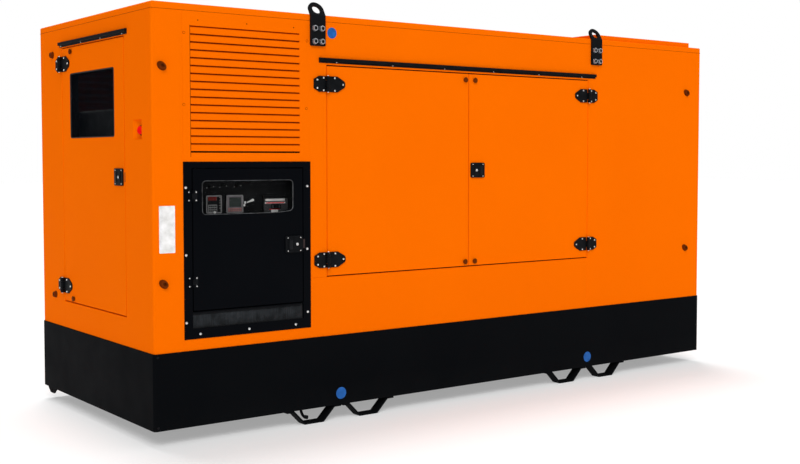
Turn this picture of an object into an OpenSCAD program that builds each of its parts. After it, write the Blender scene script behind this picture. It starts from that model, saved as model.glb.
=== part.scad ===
// Silenced diesel generator set: folded steel canopy on a base frame with a built-in tank.
// +X runs along the set, the control side faces -Y, Z = 0 is the floor under the fork hoops.

/* [Overall] */
// Length of the base frame
base_l = 4300; // [4200:10:5000]
// Width of the base frame
base_w = 1600; // [1500:10:1900]
// Height of the base frame and its tank
base_h = 400; // [300:10:500]
// Height of the canopy above the base
canopy_h = 1800; // [1760:10:2000]
// Step from the base in to the canopy on each side
canopy_inset = 5; // [2:1:15]
// Depth of the canopy walls, sheet and lining together
wall_t = 50; // [46:1:60]
// Radius of the folded vertical corners
corner_r = 12; // [6:1:20]
// Height of the roof tray's skirt
roof_skirt = 36; // [30:1:50]
// Radius along the roof's upper edges
roof_edge_r = 12; // [6:1:16]

/* [Fork hoops] */
// Clear depth of the hoops below the base
hoop_h = 86; // [70:1:120]
// Width of the hoop strap
hoop_strap_w = 70; // [50:1:100]
// Thickness of the hoop strap
hoop_strap_t = 10; // [6:1:14]
// Width of a hoop's flat bottom, outside
hoop_bottom_w = 125; // [100:1:160]
// Sideways run of each slanted hoop leg
hoop_leg_run = 84; // [60:1:85]
// Length of the welded foot on each side of a hoop
hoop_foot = 34; // [20:1:38]
// Distance between the two hoops of a pair
hoop_pitch = 373; // [372:1:460]
// Distance from the middle of the set to the middle of a pair
hoop_pair_x = 993; // [700:1:1200]

/* [Front doors] */
// Width of the post between the cabinet and the doorway
front_post_w = 107; // [60:1:160]
// Width of the double doorway
front_open_w = 2086; // [1800:2:2400]
// Height of the doorway's sill above the base
front_sill_h = 335; // [250:1:400]
// Height from the doorway up to the roof's top
front_header_h = 274; // [235:1:400]
// Gap around every door leaf
door_gap = 7; // [6:0.5:9]
// Depth of a door leaf
leaf_t = 32; // [24:1:34]
// Thickness of the folded sheet of a leaf
sheet_t = 3; // [2:0.5:4]
// Width of the stop flange behind a door's edge
stop_w = 25; // [20:1:35]
// Depth of the stop flange
stop_t = 9; // [6:1:10]

/* [End door] */
// Width of the end doorway
end_open_w = 897; // [760:1:960]
// Height of the end doorway's sill above the base
end_sill_h = 155; // [120:1:180]
// Height from the end doorway up to the roof's top
end_header_h = 148; // [100:1:200]
// Place of the end doorway's middle, towards the front
end_open_x = 10; // [-40:1:40]
// Width of the end door's window
window_w = 623; // [400:1:640]
// Height of the end door's window
window_h = 368; // [250:1:420]
// Height from the window up to the top of the doorway
window_top = 161; // [100:1:200]
// Thickness of the window pane
pane_t = 5; // [4:0.5:8]

/* [Control cabinet] */
// Width of the cabinet's face frame
cab_w = 774; // [700:1:800]
// Height of the cabinet's face frame
cab_h = 926; // [860:1:960]
// Height of the cabinet above the base
cab_sill = 60; // [40:1:80]
// Width of the corner panel beside the cabinet
corner_w = 171; // [150:1:200]
// Depth of the cabinet behind the wall
cab_depth = 230; // [180:1:260]
// Width of the face frame's side stiles
cab_stile = 47; // [40:1:60]
// Height of the face frame's top rail
cab_top = 32; // [26:1:50]
// Height of the cable opening under the door
cable_h = 84; // [60:1:100]
// Height of the face frame's bottom rail
cab_bottom = 54; // [40:1:70]
// Gap around the cabinet door
cab_gap = 6; // [5:0.5:8]
// Depth of the cabinet door
cab_leaf_t = 22; // [16:1:26]
// Setback of the instrument panel behind the cabinet's face
fascia_y = 84; // [75:1:110]

/* [Louvres] */
// Height from one blade to the next
louvre_pitch = 40.4; // [36:0.1:50]
// Width of the plain panel left of the blades
louvre_left = 46.5; // [30:0.5:80]
// Width of the plain panel right of the blades
louvre_right = 66.5; // [30:0.5:80]
// Height of the plain panel above the blades
louvre_top = 76; // [40:1:100]
// Thickness of a blade's sheet
louvre_t = 2.5; // [1.5:0.5:3]
// Outward lip at the foot of a blade
louvre_lip = 3; // [1:0.5:5]

/* [Hardware] */
// Length of a door hinge's leaf on the frame
hinge_frame_l = 86; // [60:1:88]
// Length of a door hinge's leaf on the door
hinge_door_l = 122; // [100:1:140]
// Height of a door hinge
hinge_h = 88; // [70:1:110]
// Thickness of a door hinge's leaves
hinge_t = 7; // [5:1:9]
// Radius of a hinge knuckle
knuckle_r = 11; // [9:0.5:12]
// Radius of a hinge pin
pin_r = 4; // [3:0.5:5]
// Running clearance around a hinge pin
pin_clear = 0.08; // [0.02:0.01:0.1]
// Distance from a door's top or bottom edge to the hinge's middle
hinge_inset = 97; // [60:1:140]
// Width of a door lock
lock_w = 110; // [90:1:120]
// Height of a door lock
lock_h = 92; // [80:1:110]
// Thickness of a door lock's plate
lock_t = 8; // [5:1:9]
// Height of the rain gutters
gutter_h = 28; // [20:1:34]
// Projection of the rain gutters
gutter_out = 14; // [10:1:18]

/* [Lifting eyes] */
// Width of a lifting plate
eye_w = 97; // [80:1:110]
// Thickness of a lifting plate
eye_t = 12; // [8:1:14]
// Length of a lifting plate below its bend
eye_l = 166; // [140:1:190]
// Lean of a lifting plate's head over the roof
eye_lean = 30; // [20:1:35]
// Radius of the shackle hole
eye_hole_r = 26; // [20:0.5:28]
// Distance from the bend to the shackle hole
eye_neck = 36; // [32:1:50]
// Distance from the front doorway's edge to the lifting plate beside it
eye_beside = 63; // [40:1:150]
// Width across the flats of a lifting plate's bolts
eye_bolt_af = 28; // [20:1:30]

/* [Roof outlet] */
// Length of the raised outlet frame
outlet_l = 970; // [800:10:1000]
// Height of the outlet frame above the roof
outlet_h = 33; // [24:1:45]
// Setback of the outlet frame from the canopy's sides
outlet_side = 30; // [25:1:60]
// Setback of the outlet frame from the canopy's end
outlet_end = 95; // [60:1:110]
// Width of the outlet frame's rim
outlet_rim = 70; // [50:1:90]
// Number of outlet slats
slat_n = 16; // [8:1:18]

/* [Machinery] */
// Height of the mounting rails on the deck
rail_h = 130; // [100:5:160]
// Width of a mounting rail
rail_w = 90; // [60:5:110]
// Distance between the middles of the two rails
rail_span = 620; // [560:10:660]
// Place of the engine's flywheel face along the set
flywheel_x = -560; // [-700:10:-480]
// Length of the engine block
engine_l = 1250; // [1100:10:1300]
// Width of the engine block
engine_w = 480; // [400:10:520]
// Height of the crankshaft above the deck
crank_z = 520; // [480:10:600]
// Number of cylinder heads
head_n = 6; // [4:1:6]
// Radius of the alternator's frame
alt_r = 300; // [250:5:320]
// Length of the alternator
alt_l = 880; // [760:10:900]
// Thickness of the radiator core
rad_t = 120; // [90:5:160]
// Width of the radiator
rad_w = 1240; // [1000:10:1300]
// Height of the radiator
rad_h = 1380; // [1250:10:1450]
// Height of the silencer above the deck
drum_z = 900; // [700:10:1100]
// Radius of the silencer's drum
drum_r = 170; // [130:5:190]
// Length of the silencer's drum
drum_l = 980; // [800:10:1000]

/* [Hidden] */

$fn = 48;
eps = 0.5;

orange = "#f96d00";
black = "#15171a";
lining_grey = "#3a3b3d";
steel = "#a9adb1";
dark_glass = "#20262b";
red = "#c8101a";

// Heights
z_base = hoop_h;
z_deck = z_base + base_h;
z_roof = z_deck + canopy_h;
z_eave = z_roof - roof_skirt;

// Half sizes of the canopy
cl = base_l / 2 - canopy_inset;
cw = base_w / 2 - canopy_inset;
end_half = cw - wall_t;

// Front doorway, beside the control cabinet
front_x0 = -cl + corner_w + cab_w + front_post_w;
front_x1 = front_x0 + front_open_w;
front_mid = (front_x0 + front_x1) / 2;
front_z0 = z_deck + front_sill_h;
front_z1 = z_roof - front_header_h;
front_open_h = front_z1 - front_z0;
front_leaf_w = (front_open_w - 3 * door_gap) / 2;
front_leaf_h = front_open_h - 2 * door_gap;

// End doorway, in the end face's own frame where +X runs from the back to the front
end_x0 = end_open_x - end_open_w / 2;
end_x1 = end_open_x + end_open_w / 2;
end_z0 = z_deck + end_sill_h;
end_z1 = z_roof - end_header_h;
end_open_h = end_z1 - end_z0;
end_leaf_w = end_open_w - 2 * door_gap;
end_leaf_h = end_open_h - 2 * door_gap;
window_x = -door_gap + (end_open_w - window_w) / 2;
window_z = end_open_h - window_top - window_h - door_gap;

// Control cabinet
cab_x0 = -cl + corner_w;
cab_x1 = cab_x0 + cab_w;
cab_z0 = z_deck + cab_sill;
cab_z1 = cab_z0 + cab_h;
cab_proud = 3;
cab_door_x0 = cab_x0 + cab_stile;
cab_door_x1 = cab_x1 - cab_stile;
cable_z0 = cab_z0 + cab_bottom;
cab_door_z0 = cable_z0 + cable_h + 4;
cab_door_z1 = cab_z1 - cab_top;
cab_leaf_w = cab_door_x1 - cab_door_x0 - 2 * cab_gap;
cab_leaf_h = cab_door_z1 - cab_door_z0 - 2 * cab_gap;
tub_t = 4;
tub_y = wall_t + cab_depth - tub_t;
flap_y = 12;
flap_t = 8;

// Hinge axes stand this far out of the face that they are screwed to
axis_out = knuckle_r + 4;
knuckle_end = hinge_h / 4;
knuckle_mid = hinge_h - 2 * knuckle_end - 4;
cab_knuckle_r = 6;
cab_pin_r = 2.5;
cab_hinge_h = 58;
cab_hinge_l = 27;
cab_hinge_t = 3;
cab_hinge_low = 157; // from the door opening's bottom to the lower hinge
cab_hinge_high = 147; // from its top to the upper hinge

// Chamfers of a door hinge's leaves
front_hinge_drop = 11; // the front doors' upper hinges sit this much further in
hinge_cut_l = 34;
hinge_cut_h = 18;
hinge_taper = 52;
hinge_nose_l = 6;
hinge_nose_h = 18;

// Places of the locks
lock_edge = 12; // from the edge of a door leaf
front_lock_x = front_mid + door_gap / 2 + lock_edge + lock_w / 2;
front_lock_z = (front_z0 + front_z1) / 2;
end_lock_x = end_x1 - door_gap - lock_edge - lock_w / 2;
end_lock_z = (end_z0 + end_z1) / 2;
cab_lock_x = cab_door_x1 - cab_gap - 3 - lock_w / 2;
cab_lock_z = cab_z0 + 471;

// Local frames of the faces: +X to the right as seen from outside, +Y into the canopy
module on_front() translate([0, -cw, 0]) children();
module on_back() mirror([0, 1, 0]) on_front() children();
module on_end() translate([-cl, 0, 0]) rotate([0, 0, -90]) children();
module on_right_end() mirror([1, 0, 0]) on_end() children();
module both(d) for (s = [-1, 1]) translate([s * d, 0, 0]) children();
module both_sides() for (s = [0, 1]) mirror([0, s, 0]) children();

// A wall slab between two places along the face and two heights
module slab(x0, x1, z0, z1, y0 = 0, y1 = wall_t)
    translate([x0, y0, z0]) cube([x1 - x0, y1 - y0, z1 - z0]);

// A slab whose outer vertical edge at the canopy's end is rounded
module corner_slab(x0, x1, z0, z1)
    intersection() {
        slab(x0, x1, z0, z1);
        translate([0, 0, z0]) linear_extrude(z1 - z0)
            translate([0, cw]) rounded_rect(2 * cl, 2 * cw, corner_r);
    }

module rounded_rect(w, h, r) {
    square([w - 2 * r, h], center = true);
    square([w, h - 2 * r], center = true);
    for (sx = [-1, 1], sy = [-1, 1])
        translate([sx * (w / 2 - r), sy * (h / 2 - r)]) circle(r);
}

// A plate standing on a face, with rounded corners, from its middle
module face_plate(w, h, r, y0, y1)
    translate([0, y1, 0]) rotate([90, 0, 0]) linear_extrude(y1 - y0) rounded_rect(w, h, r);

// ---------- Base ----------

module base_tank() {
    color(black) {
        translate([0, 0, z_base]) linear_extrude(base_h)
            rounded_rect(base_l, base_w, corner_r + canopy_inset);
        end_lug();
    }
}

// Small drilled lug under the end of the base
module end_lug() {
    lug_w = 126;
    lug_h = 35;
    lug_t = 10;
    lug_lip = 8;
    hole_r = 7;
    translate([-base_l / 2 + 6, base_w / 2 - 60 - lug_w, z_base])
        rotate([90, 0, 90]) linear_extrude(lug_t) difference() {
            polygon([
                [0, 1], [lug_w, 1], [lug_w, -lug_lip],
                [lug_w - lug_h, -lug_h], [lug_h, -lug_h], [0, -lug_lip]
            ]);
            translate([lug_w / 2, -lug_h / 2]) circle(hole_r);
        }
}

// One bent strap: two slanted legs, a flat bottom and a foot on each side
module fork_hoop() {
    b = hoop_bottom_w / 2;
    top = b + hoop_leg_run;
    lean = hoop_leg_run / hoop_h;
    inner = hoop_strap_t * (sqrt(1 + lean * lean) - lean);
    arm = b - inner + lean * (hoop_h - hoop_strap_t);
    rotate([90, 0, 0]) linear_extrude(hoop_strap_w) difference() {
        polygon([
            [-b, 0], [b, 0], [top - lean * hoop_strap_t, hoop_h - hoop_strap_t],
            [top + hoop_foot, hoop_h - hoop_strap_t], [top + hoop_foot, hoop_h],
            [-top - hoop_foot, hoop_h], [-top - hoop_foot, hoop_h - hoop_strap_t],
            [-top + lean * hoop_strap_t, hoop_h - hoop_strap_t]
        ]);
        polygon([
            [-b + inner, hoop_strap_t], [b - inner, hoop_strap_t],
            [arm, hoop_h], [arm, hoop_h + 1], [-arm, hoop_h + 1], [-arm, hoop_h]
        ]);
    }
}

module fork_hoops_front()
    color(black) both(hoop_pair_x) both(hoop_pitch / 2)
        translate([0, -base_w / 2 + hoop_strap_w, 0]) fork_hoop();

module fork_hoops_back() mirror([0, 1, 0]) fork_hoops_front();

// ---------- Front wall ----------

module corner_panel() color(orange) on_front() corner_slab(-cl, cab_x0, z_deck, z_eave);

// One blade: a foot lip, a flat face and a slope that runs up behind the blade above
module louvre_blade() {
    face_h = louvre_pitch * 0.74;
    slope = 16;
    lip_h = 6;
    rotate([90, 0, 90]) linear_extrude(louvre_w)
        polygon([
            [-louvre_lip, 0], [louvre_t - louvre_lip, 0], [louvre_t, lip_h + 0.5], [louvre_t, face_h - 1],
            [slope + louvre_t, face_h + slope - 1.5], [slope, face_h + slope], [0, face_h], [0, lip_h]
        ]);
}

// As many blades as fit between the cabinet and the roof
louvre_low = 15; // least height of the plain panel under the blades
louvre_slot = 9; // opening under the lowest blade
louvre_w = cab_w - louvre_left - louvre_right;
louvre_n = floor((z_eave - louvre_top - cab_z1 - louvre_low - louvre_slot) / louvre_pitch);

module louvre_wall() {
    field_h = louvre_n * louvre_pitch + louvre_slot;
    x0 = cab_x0 + louvre_left;
    z1 = z_eave - louvre_top;
    difference() {
        slab(cab_x0, cab_x1, cab_z1, z_eave);
        slab(x0, x0 + louvre_w, z1 - field_h, z1, -1, wall_t + 1);
    }
    for (i = [0 : louvre_n - 1])
        intersection() {
            translate([x0, 0, z1 - field_h + i * louvre_pitch + louvre_slot]) louvre_blade();
            slab(x0 - 1, x0 + louvre_w + 1, cab_z1, z1, -louvre_lip - 1, wall_t);
        }
}

module louvre_panel() color(orange) on_front() louvre_wall();

module front_post()
    color(orange) on_front() {
        slab(cab_x1, front_x0, front_z0, z_eave);
        slab(front_x0, front_x0 + stop_w, front_z0 + stop_w, front_z1 - stop_w, wall_t - stop_t, wall_t);
    }

module front_sill()
    color(orange) on_front() {
        slab(cab_x0, front_x1, z_deck, cab_z0);
        slab(cab_x1, front_x1, cab_z0, front_z0);
        slab(front_x0, front_x1, front_z0, front_z0 + stop_w, wall_t - stop_t, wall_t);
    }

module front_header()
    color(orange) on_front() {
        slab(front_x0, front_x1, front_z1, z_eave);
        slab(front_x0, front_x1, front_z1 - stop_w, front_z1, wall_t - stop_t, wall_t);
    }

module front_wall_right()
    color(orange) on_front() {
        corner_slab(front_x1, cl, z_deck, z_eave);
        slab(front_x1 - stop_w, front_x1, front_z0 + stop_w, front_z1 - stop_w, wall_t - stop_t, wall_t);
    }

// ---------- Control cabinet ----------

module control_cabinet()
    color(black) on_front() {
        cab_frame();
        cab_tub();
        cab_hinges_fixed();
    }

module cab_frame()
    difference() {
        slab(cab_x0, cab_x1, cab_z0, cab_z1, -cab_proud, wall_t);
        slab(cab_door_x0, cab_door_x1, cab_door_z0, cab_door_z1, -cab_proud - 1, wall_t + 1);
        slab(cab_door_x0, cab_door_x1, cable_z0, cable_z0 + cable_h, -cab_proud - 1, wall_t + 1);
    }

module cab_tub()
    difference() {
        slab(cab_x0, cab_x1, cab_z0, cab_z1, wall_t, wall_t + cab_depth);
        slab(cab_x0 + tub_t, cab_x1 - tub_t, cab_z0 + tub_t, cab_z1 - tub_t, wall_t - 1, tub_y);
    }

module cable_flap()
    color(lining_grey) on_front()
        slab(cab_door_x0, cab_door_x1, cable_z0, cable_z0 + cable_h, flap_y, flap_y + flap_t);

// Instruments on the fascia: distance from the cabinet's left side, width, height and thickness
controller = [215, 94, 98, 10];
display = [339, 104, 98, 12];
breaker = [592, 156, 84, 16];
switch_x = 425;
switch_r = 14;
fascia_h = 420; // from the cabinet's top down
instrument_row = 228;

// Fascia plate with the controller, the main display, the lever switch and the breaker
module instrument_panel() {
    plate_t = 4;
    low = cab_z1 - fascia_h;
    row = cab_z1 - instrument_row;
    color(black) on_front() {
        slab(cab_x0 + tub_t, cab_x1 - tub_t, low, cab_z1 - tub_t, fascia_y, fascia_y + plate_t);
        slab(cab_x0 + tub_t, cab_x1 - tub_t, low, low + plate_t, fascia_y + plate_t, tub_y);
    }
    color(steel) on_front() {
        for (i = [controller, display, breaker])
            translate([cab_x0 + i[0], 0, row]) face_plate(i[1], i[2], 4, fascia_y - i[3], fascia_y);
        translate([cab_x0 + switch_x, fascia_y, row]) rotate([90, 0, 0]) cylinder(r = switch_r, h = 12);
    }
}

// ---------- Back wall ----------

module back_wall()
    color(orange) on_back() difference() {
        corner_slab(-cl, cl, z_deck, z_eave);
        slab(front_x0, front_x1, front_z0, front_z1, -1, wall_t - stop_t);
        slab(front_x0 + stop_w, front_x1 - stop_w, front_z0 + stop_w, front_z1 - stop_w, -1, wall_t + 1);
        slab(cab_x0, cab_x1, cab_z1, z_eave, -1, wall_t + 1);
    }

module back_louvre_panel() color(orange) on_back() louvre_wall();

// The two leaves on the unseen side, shut against the stop flange
module back_doors()
    color(orange) on_back()
        for (i = [0, 1])
            translate([front_x0 + door_gap + i * (front_leaf_w + door_gap), 0, front_z0 + door_gap])
                cube([front_leaf_w, wall_t - stop_t, front_leaf_h]);

// ---------- Left end ----------

module end_jamb_front()
    color(orange) on_end() {
        difference() {
            slab(end_x1, end_half, z_deck, z_eave);
            stop_pocket();
        }
        slab(end_x1 - stop_w, end_x1, end_z0 + stop_w, end_z1 - stop_w, wall_t - stop_t, wall_t);
    }

pocket_w = 105;
pocket_h = 102;
pocket_d = 42;
pocket_x = cw - 123 - pocket_w;
pocket_z = z_deck + 1102;

// Wedge pocket in the jamb: its floor slopes in towards the corner of the set
module stop_pocket()
    translate([pocket_x, 0, pocket_z]) linear_extrude(pocket_h)
        polygon([[0, 0], [-pocket_w / pocket_d, -1], [pocket_w, -1], [pocket_w, pocket_d]]);

// Mushroom button that stands square on the pocket's floor
module stop_button() {
    head_r = 22;
    head_h = 12;
    stem_r = 12;
    stem_h = 12;
    along = 0.6;
    color(red) on_end()
        translate([pocket_x + along * pocket_w, along * pocket_d, pocket_z + pocket_h * 0.46])
            rotate([0, 0, atan(pocket_d / pocket_w)]) rotate([90, 0, 0]) rotate_extrude()
                polygon([
                    [0, 0], [stem_r, 0], [stem_r, stem_h], [head_r, stem_h + 1],
                    [head_r, stem_h + head_h * 0.6], [head_r * 0.8, stem_h + head_h], [0, stem_h + head_h]
                ]);
}

module end_jamb_back()
    color(orange) on_end() {
        slab(-end_half, end_x0, z_deck, z_eave);
        slab(end_x0, end_x0 + stop_w, end_z0 + stop_w, end_z1 - stop_w, wall_t - stop_t, wall_t);
    }

module end_header()
    color(orange) on_end() {
        slab(end_x0, end_x1, end_z1, z_eave);
        slab(end_x0, end_x1, end_z1 - stop_w, end_z1, wall_t - stop_t, wall_t);
    }

module end_sill()
    color(orange) on_end() {
        slab(end_x0, end_x1, z_deck, end_z0);
        slab(end_x0, end_x1, end_z0, end_z0 + stop_w, wall_t - stop_t, wall_t);
    }

// ---------- Right end ----------

module right_end_wall()
    color(orange) on_right_end() difference() {
        slab(-end_half, end_half, z_deck, z_eave);
        slab(end_x0, end_x1, end_z0, end_z1, -1, wall_t - stop_t);
        slab(end_x0 + stop_w, end_x1 - stop_w, end_z0 + stop_w, end_z1 - stop_w, -1, wall_t + 1);
    }

module right_end_cover()
    color(orange) on_right_end()
        translate([end_x0 + door_gap, 0, end_z0 + door_gap])
            cube([end_leaf_w, wall_t - stop_t, end_leaf_h]);

// ---------- Roof ----------

outlet_x1 = cl - outlet_end;
outlet_x0 = outlet_x1 - outlet_l;
outlet_half = cw - outlet_side;

module roof()
    color(orange) difference() {
        intersection() {
            translate([0, 0, z_eave]) linear_extrude(roof_skirt) rounded_rect(2 * cl, 2 * cw, corner_r);
            translate([-base_l / 2, 0, z_eave]) rotate([90, 0, 90]) linear_extrude(base_l) roof_profile(cw);
            translate([0, base_w / 2, z_eave]) rotate([90, 0, 0]) linear_extrude(base_w) roof_profile(cl);
        }
        translate([outlet_x0 + outlet_rim, -outlet_half + outlet_rim, z_eave - 1])
            cube([outlet_l - 2 * outlet_rim, 2 * (outlet_half - outlet_rim), roof_skirt + 2]);
    }

// Section of the roof tray with rounded upper corners, from the eave up
module roof_profile(half) {
    translate([-half, 0]) square([2 * half, roof_skirt - roof_edge_r]);
    translate([-half + roof_edge_r, 0]) square([2 * (half - roof_edge_r), roof_skirt]);
    for (s = [-1, 1])
        translate([s * (half - roof_edge_r), roof_skirt - roof_edge_r]) circle(roof_edge_r);
}

module discharge_grille()
    color(orange) {
        difference() {
            translate([outlet_x0, -outlet_half, z_roof]) cube([outlet_l, 2 * outlet_half, outlet_h]);
            translate([outlet_x0 + outlet_rim, -outlet_half + outlet_rim, z_roof - 1])
                cube([outlet_l - 2 * outlet_rim, 2 * (outlet_half - outlet_rim), outlet_h + 2]);
        }
        outlet_slats();
    }

module outlet_slats() {
    clear = outlet_l - 2 * outlet_rim;
    pitch = clear / slat_n;
    slat_w = 24;
    slat_t = 3;
    for (i = [0 : slat_n - 1])
        translate([outlet_x0 + outlet_rim + (i + 0.5) * pitch - slat_w / 2, 0, z_roof + 4])
            rotate([90, 0, 0]) linear_extrude(2 * (outlet_half - outlet_rim), center = true)
                polygon([
                    [0, 0], [slat_t, 0], [slat_w, slat_w - slat_t],
                    [slat_w, slat_w], [slat_w - slat_t, slat_w], [0, slat_t]
                ]);
}

// ---------- Gutters and hinges ----------

// Drip rail between two places along a face: a flange screwed to the wall and a trough over it
module gutter(x0, x1) {
    t = 2.5;
    flange_h = 14;
    translate([x0, 0, 0]) rotate([90, 0, 90]) linear_extrude(x1 - x0)
        polygon([
            [0, 0], [-t, 0], [-t, flange_h - t], [-gutter_out, flange_h - t],
            [-gutter_out, gutter_h], [-gutter_out + t, gutter_h], [-gutter_out + t, flange_h],
            [0, flange_h]
        ]);
}

// How far a gutter reaches past its doorway, on the hinge side of the corner and on the other
gutter_past = 62;
front_gutter_past = 46;
end_gutter_past = 40;
end_gutter_far = 22;
front_gutter_up = 9; // how far a gutter sits over its doorway
end_gutter_up = 4;

module front_gutter()
    translate([0, 0, front_z1 + front_gutter_up]) gutter(front_x0 - front_gutter_past, front_x1 + gutter_past);
module end_gutter()
    translate([0, 0, end_z1 + end_gutter_up]) gutter(end_x0 - end_gutter_far, end_x1 + end_gutter_past);

module rain_gutters()
    color(black) {
        on_front() front_gutter();
        on_end() end_gutter();
    }

// Frame half of a door hinge: an eight-sided leaf, two outer knuckles and the pin.
// Its door opens on the +X side; the axis stands at X = 0.
module hinge_fixed() {
    gap = knuckle_r + 2;
    h = hinge_h / 2;
    rotate([90, 0, 0]) linear_extrude(hinge_t)
        polygon([
            [-gap, h], [-hinge_frame_l + hinge_cut_l, h], [-hinge_frame_l, h - hinge_cut_h],
            [-hinge_frame_l, -h + hinge_cut_h], [-hinge_frame_l + hinge_cut_l, -h], [-gap, -h]
        ]);
    for (z = [-h, h - knuckle_end]) {
        translate([-gap - eps, -hinge_t, z]) cube([gap + eps, hinge_t - 1, knuckle_end]);
        translate([0, -axis_out, z]) cylinder(r = knuckle_r, h = knuckle_end);
    }
    translate([0, -axis_out, -h]) cylinder(r = pin_r, h = hinge_h);
}

// Outline of the pointed leaf on the door, from a place beside the knuckles
module pointed_leaf(x, h) {
    x1 = hinge_door_l - hinge_taper;
    x2 = hinge_door_l - hinge_nose_l;
    nose = hinge_nose_h / 2;
    polygon([
        [x, h], [x1, h], [x2, hinge_nose_h], [hinge_door_l, nose],
        [hinge_door_l, -nose], [x2, -hinge_nose_h], [x1, -h], [x, -h]
    ]);
}

// Door half of a door hinge: a pointed leaf and the middle knuckle with its bore
module hinge_moving() {
    gap = knuckle_r + 2;
    h = hinge_h / 2;
    difference() {
        union() {
            rotate([90, 0, 0]) linear_extrude(hinge_t) pointed_leaf(gap, h);
            translate([0, -hinge_t, -knuckle_mid / 2]) cube([gap + eps, hinge_t - 1, knuckle_mid]);
            translate([0, -axis_out, -knuckle_mid / 2]) cylinder(r = knuckle_r, h = knuckle_mid);
        }
        translate([0, -axis_out, -h]) cylinder(r = pin_r + pin_clear, h = hinge_h);
    }
}

// Places of the hinges: low and high on a doorway
module hinge_pair(z0, z1) for (z = [z0, z1]) translate([0, 0, z]) children();
module front_hinge_pair() hinge_pair(front_z0 + hinge_inset, front_z1 - hinge_inset - front_hinge_drop) children();

module left_hinges() translate([front_x0 + door_gap / 2, 0, 0]) front_hinge_pair() children();
module right_hinges()
    translate([front_x1 - door_gap / 2, 0, 0]) front_hinge_pair() mirror([1, 0, 0]) children();
module end_hinges()
    translate([end_x0 + door_gap / 2, 0, 0]) hinge_pair(end_z0 + hinge_inset, end_z1 - hinge_inset) children();

module hinge_leaves()
    color(black) {
        on_front() left_hinges() hinge_fixed();
        on_front() right_hinges() hinge_fixed();
        on_end() end_hinges() hinge_fixed();
    }

// Lock plate with a raised paddle and a round key barrel
module door_lock() {
    paddle_t = 3;
    key_r = 8;
    face_plate(lock_w, lock_h, 9, -lock_t, 0);
    translate([0.04 * lock_w, 0, 0])
        face_plate(lock_w * 0.66, lock_h * 0.74, 5, -lock_t - paddle_t, -lock_t + 1);
    translate([-0.14 * lock_w, -lock_t - paddle_t + 1, 0]) rotate([90, 0, 0]) cylinder(r = key_r, h = 5);
}

// The same fittings, shut for good, on the two sides that are not served
module back_hardware()
    color(black) {
        on_back() {
            front_gutter();
            left_hinges() closed_hinge();
            right_hinges() closed_hinge();
            translate([front_lock_x, 0, front_lock_z]) door_lock();
        }
        on_right_end() {
            end_gutter();
            end_hinges() closed_hinge();
            translate([end_lock_x, 0, end_lock_z]) mirror([1, 0, 0]) door_lock();
        }
    }

module closed_hinge() {
    hinge_fixed();
    h = hinge_h / 2;
    rotate([90, 0, 0]) linear_extrude(hinge_t - 1) pointed_leaf(-knuckle_r, h - 1);
    translate([0, -axis_out, -h + 1]) cylinder(r = knuckle_r - 1, h = hinge_h - 2);
}

// ---------- Lifting eyes ----------

eye_drop = 8; // bend line below the roof's top
eye_corner_r = 8;
eye_bolt_x = 23.5;
eye_bolt_z = [-141, -69]; // bolt rows below the bend line
eye_shift = 5.5; // the pair sits a little to the right of the doorway's middle
eye_span = front_open_w + 2 * eye_beside;

// Side plate bolted to the canopy, bent in over the roof's edge, with a round head and a shackle hole
module lifting_eye() {
    translate([0, 0, z_roof - eye_drop]) {
        translate([0, 0, -eye_l / 2]) face_plate(eye_w, eye_l, eye_corner_r, -eye_t, 0);
        difference() {
            rotate([90, 0, 90]) translate([0, 0, -eye_w / 2]) linear_extrude(eye_w) eye_bend();
            rotate([90 - eye_lean, 0, 0]) translate([0, 0, -1]) linear_extrude(eye_t + 2) eye_head_cut();
        }
        for (x = [-eye_bolt_x, eye_bolt_x], z = eye_bolt_z) translate([x, -eye_t, z]) hex_bolt();
    }
}

// Edge view of the leg's upper half, the bend and the leaning head, with the canopy's inside to the right
module eye_bend() {
    s = sin(eye_lean);
    c = cos(eye_lean);
    l = eye_neck + eye_w / 2;
    polygon([
        [0, -eye_l / 2], [0, 0], [l * s, l * c], [l * s - eye_t * c, l * c + eye_t * s],
        [-eye_t, eye_t * tan(eye_lean / 2)], [-eye_t, -eye_l / 2]
    ]);
}

// What is cut from the leaning head: the corners outside its round end, and the shackle hole
module eye_head_cut() {
    difference() {
        translate([-eye_w, eye_neck]) square([2 * eye_w, eye_w]);
        translate([0, eye_neck]) circle(r = eye_w / 2);
    }
    translate([0, eye_neck]) circle(r = eye_hole_r);
}

// Bolt head on its washer, standing out of a face
module hex_bolt()
    rotate([90, 0, 0]) {
        cylinder(r = eye_bolt_af * 0.6, h = 3);
        rotate(30) cylinder(r = eye_bolt_af / sqrt(3), h = 13, $fn = 6);
    }

module lifting_eyes_front()
    color(black) on_front() translate([front_mid + eye_shift, 0, 0]) both(eye_span / 2) lifting_eye();
module lifting_eyes_back() mirror([0, 1, 0]) lifting_eyes_front();

// ---------- Machinery behind the doors ----------

engine_x1 = flywheel_x + engine_l;
crank = z_deck + crank_z;
rad_gap = 150; // between the engine's front and the radiator
rad_x0 = engine_x1 + rad_gap;
rail_web = 8;
rail_flange = 10;
rail_past = 60; // how far the rails reach past the alternator and the engine
beam_l = 80;
bell_r = 285; // flywheel housing and the alternator's flange on it
bell_l = 130;
fan_rise = 210; // how far the fan's shaft sits over the crankshaft
fan_z = crank + fan_rise;
fan_r = 380;

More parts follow.
